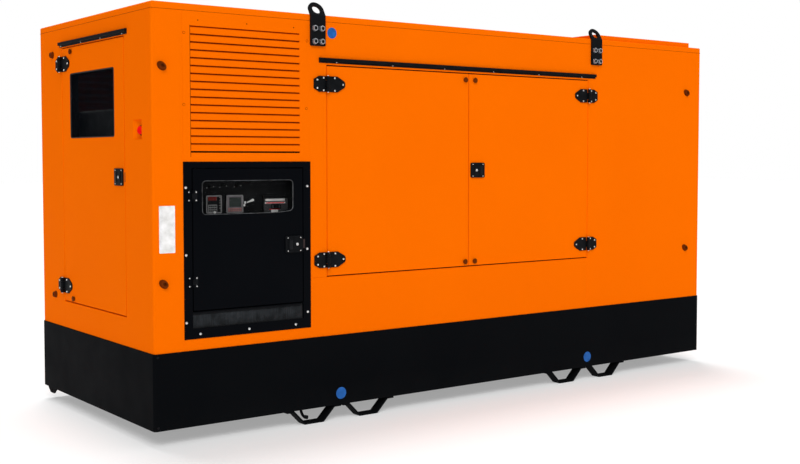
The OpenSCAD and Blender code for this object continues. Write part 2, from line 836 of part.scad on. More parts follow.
module engine_rails() {
    rail_l = alt_l + engine_l + 2 * rail_past;
    color(black) {
        both_sides() translate([flywheel_x - alt_l - rail_past, rail_span / 2 - rail_w / 2, z_deck])
            difference() {
                cube([rail_l, rail_w, rail_h]);
                translate([-1, rail_web, rail_flange])
                    cube([rail_l + 2, rail_w, rail_h - 2 * rail_flange]);
            }
        for (x = [flywheel_x - alt_l + rail_past, flywheel_x - rail_past, engine_x1 - 2 * beam_l])
            translate([x, -rail_span / 2 + rail_w / 2 - eps, z_deck])
                cube([beam_l, rail_span - rail_w + 2 * eps, rail_h - 2 * rail_flange]);
    }
}

// Engine: sizes of the block, the sump and the heads, from the crankshaft
block_down = 150;
block_up = 330;
block_step = 60;
sump_w = 340;
sump_h = 180;
head_w = 300;
head_h = 90;
cover_w = 220;
cover_h = 60;
head_l = engine_l / head_n;

// Block, sump, flywheel housing, heads, manifolds, fan and the four mounting feet
module engine()
    color(steel) {
        engine_block();
        translate([flywheel_x + bell_l, -sump_w / 2, crank - block_down - sump_h])
            cube([engine_l - 2 * bell_l, sump_w, sump_h + 1]);
        translate([flywheel_x, 0, crank]) rotate([0, 90, 0]) cylinder(r = bell_r, h = bell_l);
        for (i = [0 : head_n - 1])
            translate([flywheel_x + (i + 0.06) * head_l, 0, crank + block_up - 1]) cylinder_head();
        engine_manifolds();
        engine_front();
        engine_feet();
    }

module engine_block() {
    b = engine_w / 2;
    shoulder = crank + 90;
    translate([flywheel_x, 0, 0]) rotate([90, 0, 90]) linear_extrude(engine_l)
        polygon([
            [-b, crank - block_down], [b, crank - block_down], [b, shoulder],
            [b - block_step, crank + block_up], [-b + block_step, crank + block_up], [-b, shoulder]
        ]);
}

module cylinder_head() {
    translate([0, -head_w / 2, 0]) cube([head_l * 0.88, head_w, head_h]);
    translate([head_l * 0.06, head_w / 2 + 10 - cover_w / 2 - head_w * 0.3, head_h - 1])
        cube([head_l * 0.76, cover_w, cover_h]);
}

// Intake and exhaust manifolds with their ports, the turbocharger and the pipe down from it
module engine_manifolds() {
    run = engine_l - head_l;
    side = 205;
    z = crank + block_up + head_h / 2;
    intake_r = 45;
    exhaust_r = 58;
    turbo_r = 80;
    turbo_z = z + turbo_r + 10;
    turbo_y = -side - 55;
    translate([flywheel_x + head_l / 2, 0, z]) {
        translate([0, -side, 0]) rotate([0, 90, 0]) cylinder(r = intake_r, h = run);
        translate([0, side, 0]) rotate([0, 90, 0]) cylinder(r = exhaust_r, h = run);
    }
    for (i = [0 : head_n - 1])
        both_sides() translate([flywheel_x + (i + 0.5) * head_l, head_w / 2 - 10, z])
            rotate([-90, 0, 0]) cylinder(r = 26, h = side - head_w / 2 + 15);
    translate([flywheel_x + head_l * 0.6, turbo_y, turbo_z]) rotate([0, 90, 0]) {
        cylinder(r = turbo_r, h = turbo_r + 10);
        translate([0, 0, -70]) cylinder(r = turbo_r - 14, h = 240);
    }
    translate([flywheel_x + head_l, -side - 27, z]) cylinder(r = 30, h = 60);
}

// Crank pulley, fan hub and eight blades at the radiator's end
module engine_front() {
    pulley_r = 110;
    hub_r = 80;
    blade_w = 110;
    blade_t = 8;
    translate([engine_x1 - 1, 0, crank]) rotate([0, 90, 0]) cylinder(r = pulley_r, h = 50);
    translate([engine_x1 - 1, 0, fan_z]) rotate([0, 90, 0]) cylinder(r = hub_r, h = 90);
    for (i = [0 : 7])
        translate([engine_x1 + 50, 0, fan_z]) rotate([45 * i, 0, 0]) rotate([0, 0, 28])
            translate([-blade_t / 2, -blade_w / 2, hub_r - 20])
                cube([blade_t, blade_w, fan_r - hub_r + 20]);
}

// Feet on the rails, each with a bracket up into the block
module engine_feet() {
    foot_l = 110;
    foot_w = 100;
    foot_t = 24;
    bracket_l = 50;
    back_in = 40; // how far each pair of feet stands in from its end of the block
    front_in = 150;
    under = 120; // the brackets end this far below the crankshaft
    for (x = [flywheel_x + back_in, engine_x1 - front_in])
        both_sides() translate([x, rail_span / 2 - foot_w / 2, z_deck + rail_h]) {
            cube([foot_l, foot_w, foot_t]);
            translate([(foot_l - bracket_l) / 2, -foot_w / 2, foot_t - 1])
                cube([bracket_l, foot_w * 1.5, crank_z - under - rail_h - foot_t]);
        }
}

// Ribbed frame with its flange, feet and the terminal box on top
module alternator() {
    foot_l = 100;
    foot_in = alt_r - 40; // the feet reach this near to the middle, in under the frame's side
    foot_out = rail_span / 2 + 50;
    foot_h = crank - alt_r - z_deck - rail_h;
    box_l = 520;
    box_w = 440;
    box_h = 330;
    rib_t = 16;
    color(steel) {
        translate([flywheel_x - alt_l, 0, crank]) rotate([0, 90, 0]) {
            cylinder(r = alt_r - 12, h = alt_l - 60);
            translate([0, 0, alt_l - 62]) cylinder(r = bell_r, h = 62);
            for (i = [0 : 6]) translate([0, 0, 150 + i * 80]) cylinder(r = alt_r, h = rib_t);
        }
        for (x = [flywheel_x - alt_l + 150, flywheel_x - 230])
            both_sides() translate([x, foot_in, z_deck + rail_h])
                cube([foot_l, foot_out - foot_in, foot_h + alt_r * 0.72]);
        translate([flywheel_x - alt_l + 130, -box_w / 2, crank + alt_r * 0.7]) cube([box_l, box_w, box_h]);
    }
}

// Core between two tanks, standing on the deck, with the fan ring on the engine's side
module radiator() {
    ring_r = fan_r + 50;
    ring_l = 60;
    ring_t = 12;
    tank_h = 130;
    tank_step = 20;
    bars = 11;
    color(black) {
        difference() {
            union() {
                translate([rad_x0, -rad_w / 2, z_deck]) cube([rad_t, rad_w, rad_h]);
                for (z = [0, rad_h - tank_h])
                    translate([rad_x0 - tank_step, -rad_w / 2, z_deck + z])
                        cube([rad_t + 2 * tank_step, rad_w, tank_h]);
                translate([rad_x0 - ring_l, 0, fan_z]) rotate([0, 90, 0])
                    cylinder(r = ring_r, h = ring_l + 1);
            }
            translate([rad_x0 - ring_l - 1, 0, fan_z]) rotate([0, 90, 0])
                cylinder(r = ring_r - ring_t, h = ring_l + 1);
        }
        for (i = [1 : bars])
            translate([rad_x0 + rad_t - 1, -rad_w / 2 + i * rad_w / (bars + 1) - 4, z_deck + tank_h])
                cube([9, 8, rad_h - 2 * tank_h]);
    }
}

// Drum across the outlet chamber on two cradles, with a tail pipe that turns up to the grille
module silencer() {
    x = (outlet_x0 + outlet_x1) / 2;
    z = z_deck + drum_z;
    cradle_w = 60;
    tail_r = 64;
    tail_t = 6;
    color(steel) {
        translate([x, 0, z]) rotate([90, 0, 0]) cylinder(r = drum_r, h = drum_l, center = true);
        both_sides() translate([x - drum_r * 0.7, drum_l * 0.32 - cradle_w / 2, z_deck])
            cube([drum_r * 1.4, cradle_w, drum_z - drum_r * 0.6]);
        translate([x, drum_l * 0.3, z]) difference() {
            cylinder(r = tail_r, h = z_eave - z - 30);
            translate([0, 0, drum_r + 20]) cylinder(r = tail_r - tail_t, h = z_eave - z);
        }
    }
}

// ---------- Doors ----------

// Folded tray, open on its inner side; the hinge edge is at X = 0
module leaf(w, h, t)
    difference() {
        cube([w, t, h]);
        translate([sheet_t, sheet_t, sheet_t]) cube([w - 2 * sheet_t, t, h - 2 * sheet_t]);
    }

module leaf_lining(w, h, t, edge = 18)
    translate([edge, sheet_t, edge]) cube([w - 2 * edge, t - sheet_t - 5, h - 2 * edge]);

module front_leaf_left() on_front() translate([front_x0 + door_gap, 0, front_z0 + door_gap]) children();
module front_leaf_right()
    on_front() translate([front_x1 - door_gap, 0, front_z0 + door_gap]) mirror([1, 0, 0]) children();
module end_leaf() on_end() translate([end_x0 + door_gap, 0, end_z0 + door_gap]) children();

module front_door_left() color(orange) front_leaf_left() leaf(front_leaf_w, front_leaf_h, leaf_t);
module front_door_left_lining()
    color(lining_grey) front_leaf_left() leaf_lining(front_leaf_w, front_leaf_h, leaf_t);
module front_door_left_hinges() color(black) on_front() left_hinges() hinge_moving();

module front_door_right() color(orange) front_leaf_right() leaf(front_leaf_w, front_leaf_h, leaf_t);
module front_door_right_lining()
    color(lining_grey) front_leaf_right() leaf_lining(front_leaf_w, front_leaf_h, leaf_t);
module front_door_right_hardware()
    color(black) {
        on_front() right_hinges() hinge_moving();
        on_front() translate([front_lock_x, 0, front_lock_z]) door_lock();
    }

module window_hole(edge, y0, y1)
    translate([window_x - edge, y0, window_z - edge])
        cube([window_w + 2 * edge, y1 - y0, window_h + 2 * edge]);

module end_door()
    color(orange) end_leaf() {
        difference() {
            leaf(end_leaf_w, end_leaf_h, leaf_t);
            window_hole(0, -1, leaf_t);
        }
        difference() {
            window_hole(sheet_t + pane_t, sheet_t - 0.5, leaf_t - 6);
            window_hole(pane_t, 0, leaf_t);
        }
    }

module end_door_window() color(dark_glass) end_leaf() window_hole(pane_t - 0.5, sheet_t, sheet_t + pane_t);

module end_door_lining()
    color(lining_grey) end_leaf() difference() {
        leaf_lining(end_leaf_w, end_leaf_h, leaf_t);
        window_hole(sheet_t + pane_t + 1, -1, leaf_t);
    }

module end_door_hardware()
    color(black) {
        on_end() end_hinges() hinge_moving();
        on_end() translate([end_lock_x, 0, end_lock_z]) mirror([1, 0, 0]) door_lock();
    }

// ---------- Cabinet door ----------

module cab_leaf_place()
    on_front() translate([cab_door_x0 + cab_gap, -cab_proud, cab_door_z0 + cab_gap]) children();

cab_window_x = 48;
cab_window_w = cab_leaf_w - cab_window_x - 61;
cab_window_h = 177;
cab_window_z = cab_leaf_h - 62 - cab_window_h;

// Outline of the cabinet door's window: rounded, with its lower right corner cut away on a slant
module cab_window_outline(grow = 0) {
    r = 26 + grow;
    w = cab_window_w;
    h = cab_window_h;
    cut_w = 101;
    cut_h = 24;
    difference() {
        translate([w / 2, h / 2]) rounded_rect(w + 2 * grow, h + 2 * grow, r);
        polygon([
            [w - cut_w, -grow - 1], [w + grow + 1, -grow - 1],
            [w + grow + 1, cut_h - grow], [w - cut_w, -grow]
        ]);
    }
}

module control_door()
    color(black) cab_leaf_place() difference() {
        leaf(cab_leaf_w, cab_leaf_h, cab_leaf_t);
        translate([cab_window_x, cab_leaf_t, cab_window_z]) rotate([90, 0, 0])
            linear_extrude(cab_leaf_t + 2) cab_window_outline();
    }

module control_door_window()
    color(dark_glass) cab_leaf_place()
        translate([cab_window_x, sheet_t + 4, cab_window_z]) rotate([90, 0, 0])
            linear_extrude(4) cab_window_outline(12);

module cab_hinge_places()
    translate([cab_door_x0 + cab_gap / 2, -cab_proud, 0])
        for (z = [cab_door_z0 + cab_hinge_low, cab_door_z1 - cab_hinge_high])
            translate([0, 0, z]) children();

cab_axis_out = cab_knuckle_r + 1;
cab_knuckle_end = 15;

module cab_hinges_fixed()
    cab_hinge_places() {
        h = cab_hinge_h / 2;
        gap = cab_knuckle_r + 1.5;
        translate([-cab_hinge_l, -cab_hinge_t, -h]) cube([cab_hinge_l - gap, cab_hinge_t + eps, 2 * h]);
        for (z = [-h, h - cab_knuckle_end]) {
            translate([-gap - eps, -cab_hinge_t, z]) cube([gap + eps, cab_hinge_t - 0.8, cab_knuckle_end]);
            translate([0, -cab_axis_out, z]) cylinder(r = cab_knuckle_r, h = cab_knuckle_end);
        }
        translate([0, -cab_axis_out, -h]) cylinder(r = cab_pin_r, h = 2 * h);
    }

module control_door_hardware()
    color(black) on_front() {
        cab_hinge_places() difference() {
            h = cab_hinge_h / 2;
            gap = cab_knuckle_r + 1.5;
            mid = 2 * h - 2 * cab_knuckle_end - 3;
            union() {
                translate([gap, -cab_hinge_t, -h]) cube([cab_hinge_l - gap, cab_hinge_t, 2 * h]);
                translate([0, -cab_hinge_t, -mid / 2]) cube([gap + eps, cab_hinge_t - 0.8, mid]);
                translate([0, -cab_axis_out, -mid / 2]) cylinder(r = cab_knuckle_r, h = mid);
            }
            translate([0, -cab_axis_out, -h - 1]) cylinder(r = cab_pin_r + pin_clear, h = 2 * h + 2);
        }
        translate([cab_lock_x, -cab_proud, cab_lock_z]) mirror([1, 0, 0]) door_lock();
    }

base_tank();
fork_hoops_front();
fork_hoops_back();
corner_panel();
louvre_panel();
front_post();
front_sill();
front_header();
front_wall_right();
control_cabinet();
instrument_panel();
cable_flap();
back_wall();
back_louvre_panel();
back_doors();
end_jamb_front();
end_jamb_back();
end_header();
end_sill();
stop_button();
right_end_wall();
right_end_cover();
roof();
discharge_grille();
rain_gutters();
hinge_leaves();
back_hardware();
lifting_eyes_front();
lifting_eyes_back();
engine_rails();
engine();
alternator();
radiator();
silencer();
front_door_left();
front_door_left_lining();
front_door_left_hinges();
front_door_right();
front_door_right_lining();
front_door_right_hardware();
end_door();
end_door_lining();
end_door_window();
end_door_hardware();
control_door();
control_door_window();
control_door_hardware();
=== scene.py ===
import math

import bpy
import numpy as np
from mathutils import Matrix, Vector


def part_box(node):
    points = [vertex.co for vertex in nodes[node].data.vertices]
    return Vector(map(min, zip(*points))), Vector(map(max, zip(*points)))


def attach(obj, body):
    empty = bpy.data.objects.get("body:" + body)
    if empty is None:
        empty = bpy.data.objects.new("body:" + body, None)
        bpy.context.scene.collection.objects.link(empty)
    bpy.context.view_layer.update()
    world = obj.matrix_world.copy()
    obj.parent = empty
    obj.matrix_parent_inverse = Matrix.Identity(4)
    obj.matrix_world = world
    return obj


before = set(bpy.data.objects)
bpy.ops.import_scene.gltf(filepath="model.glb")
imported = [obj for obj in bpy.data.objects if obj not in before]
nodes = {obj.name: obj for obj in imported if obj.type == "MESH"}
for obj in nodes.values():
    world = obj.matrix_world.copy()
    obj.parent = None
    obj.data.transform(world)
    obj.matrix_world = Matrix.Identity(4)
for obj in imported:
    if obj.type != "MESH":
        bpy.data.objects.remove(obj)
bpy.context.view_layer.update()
print("frame loaded:", len(nodes), "nodes")

# camera and light

cameraView = {
    "place": (-4.6580, -6.2474, 1.4904), "yaw": 36.818, "pitch": -2.8569, "lens": 52.0805, "shiftY": -0.0201,
    "sensor": 36, "farthest": 200,
}


def addCamera(view):
    camera = bpy.data.objects.new("camera", bpy.data.cameras.new("camera"))
    camera.location = view["place"]
    camera.rotation_euler = (math.radians(90 + view["pitch"]), 0, math.radians(-view["yaw"]))
    camera.data.sensor_width = view["sensor"]
    camera.data.lens = view["lens"]
    camera.data.shift_y = view["shiftY"]
    camera.data.clip_end = view["farthest"]
    bpy.context.scene.collection.objects.link(camera)
    bpy.context.scene.camera = camera


studio = {
    "floorSize": 120,
    "floor": {
        "Base Color": (0.66, 0.66, 0.66, 1), "Roughness": 0.85, "Specular IOR Level": 0.1,
        "Emission Color": (1, 1, 1, 1), "Emission Strength": 0.34,  # a lit table, so contact shadows stay light grey
    },
    "sky": (1, 1, 1, 1),
    "skyStrength": 0.52,
    "endShade": 0.48,  # how much dimmer the room is on the left
    "shadeSpan": (-1.0, 0.3),  # where along X the room goes from dim to bright
    "reflected": (0.3, 0.31, 0.33, 1),  # what glossy surfaces see instead of the bright room
    "lamps": [  # yaw from +Y towards +X and height of the aim, softness, strength
        {"name": "keyLamp", "yaw": 33, "height": 42, "angle": 30, "strength": 1.42},
        {"name": "topLamp", "yaw": 192, "height": 74, "angle": 18, "strength": 1.4},
    ],
}


def setInputs(tree, node, given):
    # each input gets a value of its own or another node's output
    for label, value in given.items():
        if isinstance(value, bpy.types.NodeSocket):
            tree.links.new(value, node.inputs[label])
        else:
            node.inputs[label].default_value = value


def addNode(tree, kind, given=None, **traits):
    node = tree.nodes.new("ShaderNode" + kind)
    for trait, value in traits.items():
        setattr(node, trait, value)
    setInputs(tree, node, given or {})
    return node


def rangeNode(tree, value, low, high, outLow, outHigh):
    given = {"Value": value, "From Min": low, "From Max": high, "To Min": outLow, "To Max": outHigh}
    return addNode(tree, "MapRange", given).outputs["Result"]


def mathNode(tree, operation, *given):
    return addNode(tree, "Math", dict(enumerate(given)), operation=operation).outputs["Value"]


def addRoom(settings):
    # a bright even room, dimmer on the left; the camera sees plain white, glossy rays see a darker wall
    world = bpy.data.worlds.new("studioRoom")
    bpy.context.scene.world = world
    world.use_nodes = True
    tree = world.node_tree
    tree.nodes.clear()
    bright = settings["skyStrength"]
    along = addNode(tree, "SeparateXYZ", {"Vector": addNode(tree, "TexCoord").outputs["Generated"]}).outputs["X"]
    dim = rangeNode(tree, along, *settings["shadeSpan"], bright * (1 - settings["endShade"]), bright)
    room = addNode(tree, "Background", {"Color": settings["sky"], "Strength": dim})
    seen = addNode(tree, "Background", {"Color": settings["sky"]})
    share = mathNode(tree, "DIVIDE", dim, bright)
    glossy = addNode(tree, "Background", {"Color": settings["reflected"], "Strength": share})
    ray = addNode(tree, "LightPath").outputs
    surface = room
    for kind, other in (("Is Glossy Ray", glossy), ("Is Camera Ray", seen)):
        surface = addNode(tree, "MixShader", {"Fac": ray[kind], 1: surface.outputs[0], 2: other.outputs[0]})
    addNode(tree, "OutputWorld", {"Surface": surface.outputs[0]})


def addLamps(settings):
    scene = bpy.context.scene
    scene.view_settings.view_transform = "Standard"
    scene.view_settings.look = "None"
    for lamp in settings["lamps"]:
        data = bpy.data.lights.new(lamp["name"], "SUN")
        data.angle = math.radians(lamp["angle"])
        data.energy = lamp["strength"]
        thing = bpy.data.objects.new(lamp["name"], data)
        thing.rotation_euler = (math.radians(90 - lamp["height"]), 0, math.radians(-lamp["yaw"]))
        scene.collection.objects.link(thing)


def blankFinish(name, given):
    material = bpy.data.materials.new(name)
    material.use_nodes = True
    tree = material.node_tree
    shader = tree.nodes["Principled BSDF"]
    setInputs(tree, shader, given)
    return material, tree, shader


def addFloor(settings):
    half = settings["floorSize"] / 2
    data = bpy.data.meshes.new("studioFloor")
    data.from_pydata([(-half, -half, 0), (half, -half, 0), (half, half, 0), (-half, half, 0)], [], [(0, 1, 2, 3)])
    floor = bpy.data.objects.new("studioFloor", data)
    bpy.context.scene.collection.objects.link(floor)
    data.materials.append(blankFinish("paleFloor", settings["floor"])[0])


addCamera(cameraView)
addRoom(studio)
addLamps(studio)
addFloor(studio)
print("studio ready")

# node groups shared by the finishes


def newGroup(name, inputs, outputs):
    # four numbers make a colour input, three a vector and one a plain value
    kinds = {4: "NodeSocketColor", 3: "NodeSocketVector", 1: "NodeSocketFloat"}
    group = bpy.data.node_groups.new(name, "ShaderNodeTree")
    for label, value in inputs.items():
        kind = kinds[len(value) if isinstance(value, tuple) else 1]
        group.interface.new_socket(label, in_out="INPUT", socket_type=kind).default_value = value
    for label in outputs:
        group.interface.new_socket(label, in_out="OUTPUT", socket_type=kinds[4 if label == "Color" else 1])
    return group, group.nodes.new("NodeGroupInput").outputs, group.nodes.new("NodeGroupOutput")


def placeOf(tree):
    return addNode(tree, "TexCoord").outputs["Object"]


def axesOf(tree, vector):
    return addNode(tree, "SeparateXYZ", {"Vector": vector}).outputs


def noiseNode(tree, coords, scale, detail=2.0, roughness=0.5):
    given = {"Detail": detail, "Roughness": roughness, "Vector": coords, "Scale": scale}
    return addNode(tree, "TexNoise", given).outputs["Fac"]


def mixColor(tree, factor, a, b, blend="MIX"):
    node = addNode(tree, "Mix", data_type="RGBA", blend_type=blend)
    setInputs(tree, node, {0: factor, 6: a, 7: b})  # the mix node's colour sockets
    return node.outputs[2]


def multiplied(tree, *values):
    total = values[0]
    for value in values[1:]:
        total = mathNode(tree, "MULTIPLY", total, value)
    return total


noiseSpan = (0.3, 0.7)  # the part of a noise's range that is stretched to the full one
powder = {"driftSpan": (0.3, 0.75), "gloss": (6.0, 3.0, 0.6)}  # gloss and the like: scale, detail and roughness
dust = {"leastUp": 0.3, "atFloor": 0.6, "patch": (9.0, 5.0, 0.65), "patchSpan": (0.35, 0.7), "leastPatch": 0.2}
foamCells = {"wall": 0.7, "quilt": (14.0, 4.0, 0.6), "quiltMix": 0.5, "pitSpan": (0.0, 0.5), "pitTone": 0.55}
darkestLine = 0.8
recessShadeSpan = (0.001, 0.006)  # how far behind the face the painted shade begins and is full


def makePowderGroup():
    # fine orange-peel height, a slow drift of shade and of gloss
    group, given, out = newGroup("powderCoat", {
        "Color": (0.8, 0.8, 0.8, 1), "Shade": (0.5, 0.5, 0.5, 1), "Peel Scale": 420.0, "Drift Scale": 1.3,
        "Rough Low": 0.3, "Rough High": 0.45,
    }, ("Color", "Roughness", "Height"))
    place = placeOf(group)
    drift = rangeNode(group, noiseNode(group, place, given["Drift Scale"], 3.0), *powder["driftSpan"], 0.0, 1.0)
    gloss = noiseNode(group, place, *powder["gloss"])
    setInputs(group, out, {
        "Color": mixColor(group, drift, given["Color"], given["Shade"]),
        "Roughness": rangeNode(group, gloss, *noiseSpan, given["Rough Low"], given["Rough High"]),
        "Height": noiseNode(group, place, given["Peel Scale"], 1.0),
    })
    return group


def makeDustGroup():
    # dust settles on faces that look up and in a band above the floor
    group, given, out = newGroup("settledDust", {
        "Color": (0.8, 0.8, 0.8, 1), "Dust Color": (0.4, 0.38, 0.34, 1), "Amount": 0.2, "Low Band": 0.3,
    }, ("Color", "Mask"))
    place = placeOf(group)
    facing = addNode(group, "NewGeometry").outputs["Normal"]
    up = rangeNode(group, axesOf(group, facing)["Z"], dust["leastUp"], 1.0, 0.0, 1.0)
    low = rangeNode(group, axesOf(group, place)["Z"], 0.0, given["Low Band"], dust["atFloor"], 0.0)
    patch = noiseNode(group, place, *dust["patch"])
    patch = rangeNode(group, patch, *dust["patchSpan"], dust["leastPatch"], 1.0)
    mask = multiplied(group, mathNode(group, "MAXIMUM", up, low), patch, given["Amount"])
    setInputs(group, out, {"Color": mixColor(group, mask, given["Color"], given["Dust Color"]), "Mask": mask})
    return group


def makeInsideGroup():
    # masks what lies behind the outer sheet, where the acoustic lining is glued
    group, given, out = newGroup("insideMask", {"Half Length": 2.0, "Half Width": 0.7, "Top": 2.2}, ("Mask",))
    where = axesOf(group, placeOf(group))
    along = mathNode(group, "LESS_THAN", mathNode(group, "ABSOLUTE", where["X"]), given["Half Length"])
    across = mathNode(group, "LESS_THAN", mathNode(group, "ABSOLUTE", where["Y"]), given["Half Width"])
    below = mathNode(group, "LESS_THAN", where["Z"], given["Top"])
    setInputs(group, out, {"Mask": multiplied(group, along, across, below)})
    return group


def makeFoamGroup():
    # open-cell acoustic foam: small round cells under a soft quilt
    inputs = {"Color": (0.03, 0.03, 0.03, 1), "Cell Scale": 260.0}
    paler = (0.075, 0.075, 0.08, 1)
    group, given, out = newGroup("acousticFoam", inputs, ("Color", "Height"))
    place = placeOf(group)
    cells = addNode(group, "TexVoronoi", {"Vector": place, "Scale": given["Cell Scale"]}).outputs["Distance"]
    height = rangeNode(group, cells, 0.0, foamCells["wall"], 0.0, 1.0)
    tone = rangeNode(group, noiseNode(group, place, *foamCells["quilt"]), *noiseSpan, 0.0, 1.0)
    quilted = mixColor(group, foamCells["quiltMix"], given["Color"], paler)
    tinted = mixColor(group, tone, given["Color"], quilted)
    pits = rangeNode(group, height, *foamCells["pitSpan"], foamCells["pitTone"], 1.0)
    setInputs(group, out, {"Color": mixColor(group, 1.0, tinted, pits, "MULTIPLY"), "Height": height})
    return group


def makeBrushedGroup():
    # fine lines drawn along one axis by squeezing the noise across it
    group, given, out = newGroup("brushedLines", {
        "Color": (0.5, 0.5, 0.5, 1), "Stretch": (400.0, 400.0, 12.0), "Rough Low": 0.25, "Rough High": 0.45,
    }, ("Color", "Roughness", "Height"))
    scaled = addNode(group, "VectorMath", {0: placeOf(group), 1: given["Stretch"]}, operation="MULTIPLY")
    lines = noiseNode(group, scaled.outputs["Vector"], 1.0, 2.0)
    shade = rangeNode(group, lines, *noiseSpan, darkestLine, 1.0)
    setInputs(group, out, {
        "Color": mixColor(group, 1.0, given["Color"], shade, "MULTIPLY"),
        "Roughness": rangeNode(group, lines, *noiseSpan, given["Rough High"], given["Rough Low"]),
        "Height": lines,
    })
    return group


def makeRecessShadeGroup():
    # paints shade on what lies behind a face of the canopy, as in the deep slots between louvre blades
    inputs = {"Color": (0.8, 0.8, 0.8, 1), "Tone": (0.3, 0.2, 0.2, 1), "Face": 0.795}
    group, given, out = newGroup("recessTone", inputs, ("Color",))
    depth = mathNode(group, "ABSOLUTE", axesOf(group, placeOf(group))["Y"])
    mask = rangeNode(group, mathNode(group, "SUBTRACT", given["Face"], depth), *recessShadeSpan, 0.0, 1.0)
    dark = mixColor(group, 1.0, given["Color"], given["Tone"], "MULTIPLY")
    setInputs(group, out, {"Color": mixColor(group, mask, given["Color"], dark)})
    return group


powderCoat = makePowderGroup()
recessTone = makeRecessShadeGroup()
settledDust = makeDustGroup()
insideMask = makeInsideGroup()
acousticFoam = makeFoamGroup()
brushedLines = makeBrushedGroup()
print("node groups ready")

# finishes


def placeGroup(tree, group, given):
    return addNode(tree, "Group", given, node_tree=group).outputs


def opaque(color):
    return (*color, 1)


def addBump(tree, shader, height, distance):
    bump = addNode(tree, "Bump", {"Distance": distance, "Strength": 1.0, "Height": height})
    tree.links.new(bump.outputs["Normal"], shader.inputs["Normal"])


foamTone = (0.03, 0.031, 0.033)
foamRoughness = 0.95
foamBump = 0.0012
liningDepth = 25.0  # the lining's cells are this much deeper than the paint's grain
grainBump = 0.00004
cloud = {"scale": 25.0, "lift": 0.002}
wipe = {"noise": (7.0, 4.0, 0.6), "cover": 0.05, "rough": (0.04, 0.12)}


def coatedFinish(name, paint):
    # powder coat under a little dust; where the paint has a lining, the inside of the canopy turns to foam
    material, tree, shader = blankFinish(name, {"Specular IOR Level": paint["specular"]})
    coat = placeGroup(tree, powderCoat, {
        "Color": opaque(paint["color"]), "Shade": opaque(paint["shade"]), "Peel Scale": paint.get("peel", 420.0),
        "Rough Low": paint["rough"][0], "Rough High": paint["rough"][1],
    })
    color = placeGroup(tree, settledDust, {
        "Color": coat["Color"], "Dust Color": opaque(paint.get("dustColor", (0.42, 0.39, 0.34))),
        "Amount": paint["dust"], "Low Band": paint.get("lowBand", 0.3),
    })["Color"]
    rough, height = coat["Roughness"], coat["Height"]
    # where the paint has a recess colour, what lies behind the face gets painted shade
    if "recess" in paint:
        color = placeGroup(tree, recessTone, {"Color": color, "Tone": opaque(paint["recess"])})["Color"]
    if "lining" in paint:
        mask = placeGroup(tree, insideMask, paint["lining"])["Mask"]
        foam = placeGroup(tree, acousticFoam, {"Color": opaque(foamTone)})
        color = mixColor(tree, mask, color, foam["Color"])
        rough = rangeNode(tree, mask, 0.0, 1.0, rough, foamRoughness)
        height = mathNode(tree, "ADD", height, multiplied(tree, foam["Height"], mask, liningDepth))
    setInputs(tree, shader, {"Base Color": color, "Roughness": rough})
    addBump(tree, shader, height, paint.get("bump", grainBump))
    return material


def mouldedFinish(name, color, rough, specular=0.4, grain=900.0, bump=0.00003, cloudy=1.5):
    # moulded plastic or rubber: spark-eroded grain and small changes of gloss
    material, tree, shader = blankFinish(name, {"Specular IOR Level": specular})
    place = placeOf(tree)
    clouds = rangeNode(tree, noiseNode(tree, place, cloud["scale"], 3.0), *noiseSpan, 0.0, 1.0)
    lighter = tuple(min(1.0, c * cloudy + cloud["lift"]) for c in color)
    setInputs(tree, shader, {
        "Base Color": mixColor(tree, clouds, opaque(color), opaque(lighter)),
        "Roughness": rangeNode(tree, clouds, 0.0, 1.0, *rough),
    })
    addBump(tree, shader, noiseNode(tree, place, grain, 2.0), bump)
    return material


def metalFinish(name, color, rough, stretch=300.0, bump=0.00002):
    material, tree, shader = blankFinish(name, {"Specular IOR Level": 0.4, "Metallic": 1.0})
    lines = placeGroup(tree, brushedLines, {
        "Color": opaque(color), "Stretch": (stretch,) * 3, "Rough Low": rough[0], "Rough High": rough[1],
    })
    setInputs(tree, shader, {"Base Color": lines["Color"], "Roughness": lines["Roughness"]})
    addBump(tree, shader, lines["Height"], bump)
    return material


def foamFinish(name, color):
    material, tree, shader = blankFinish(name, {"Specular IOR Level": 0.1, "Roughness": foamRoughness})
    foam = placeGroup(tree, acousticFoam, {"Color": opaque(color)})
    setInputs(tree, shader, {"Base Color": foam["Color"]})
    addBump(tree, shader, foam["Height"], foamBump)
    return material


def paneFinish(name, tint, cover, specular):
    # tinted acrylic pane: mostly see-through, with faint wipe marks in its gloss
    given = {"Specular IOR Level": specular, "Base Color": opaque(tint), "IOR": 1.49}
    material, tree, shader = blankFinish(name, given)
    wiped = noiseNode(tree, placeOf(tree), *wipe["noise"])
    setInputs(tree, shader, {
        "Alpha": rangeNode(tree, wiped, *noiseSpan, cover - wipe["cover"], cover + wipe["cover"]),
        "Roughness": rangeNode(tree, wiped, *noiseSpan, *wipe["rough"]),
    })
    return material


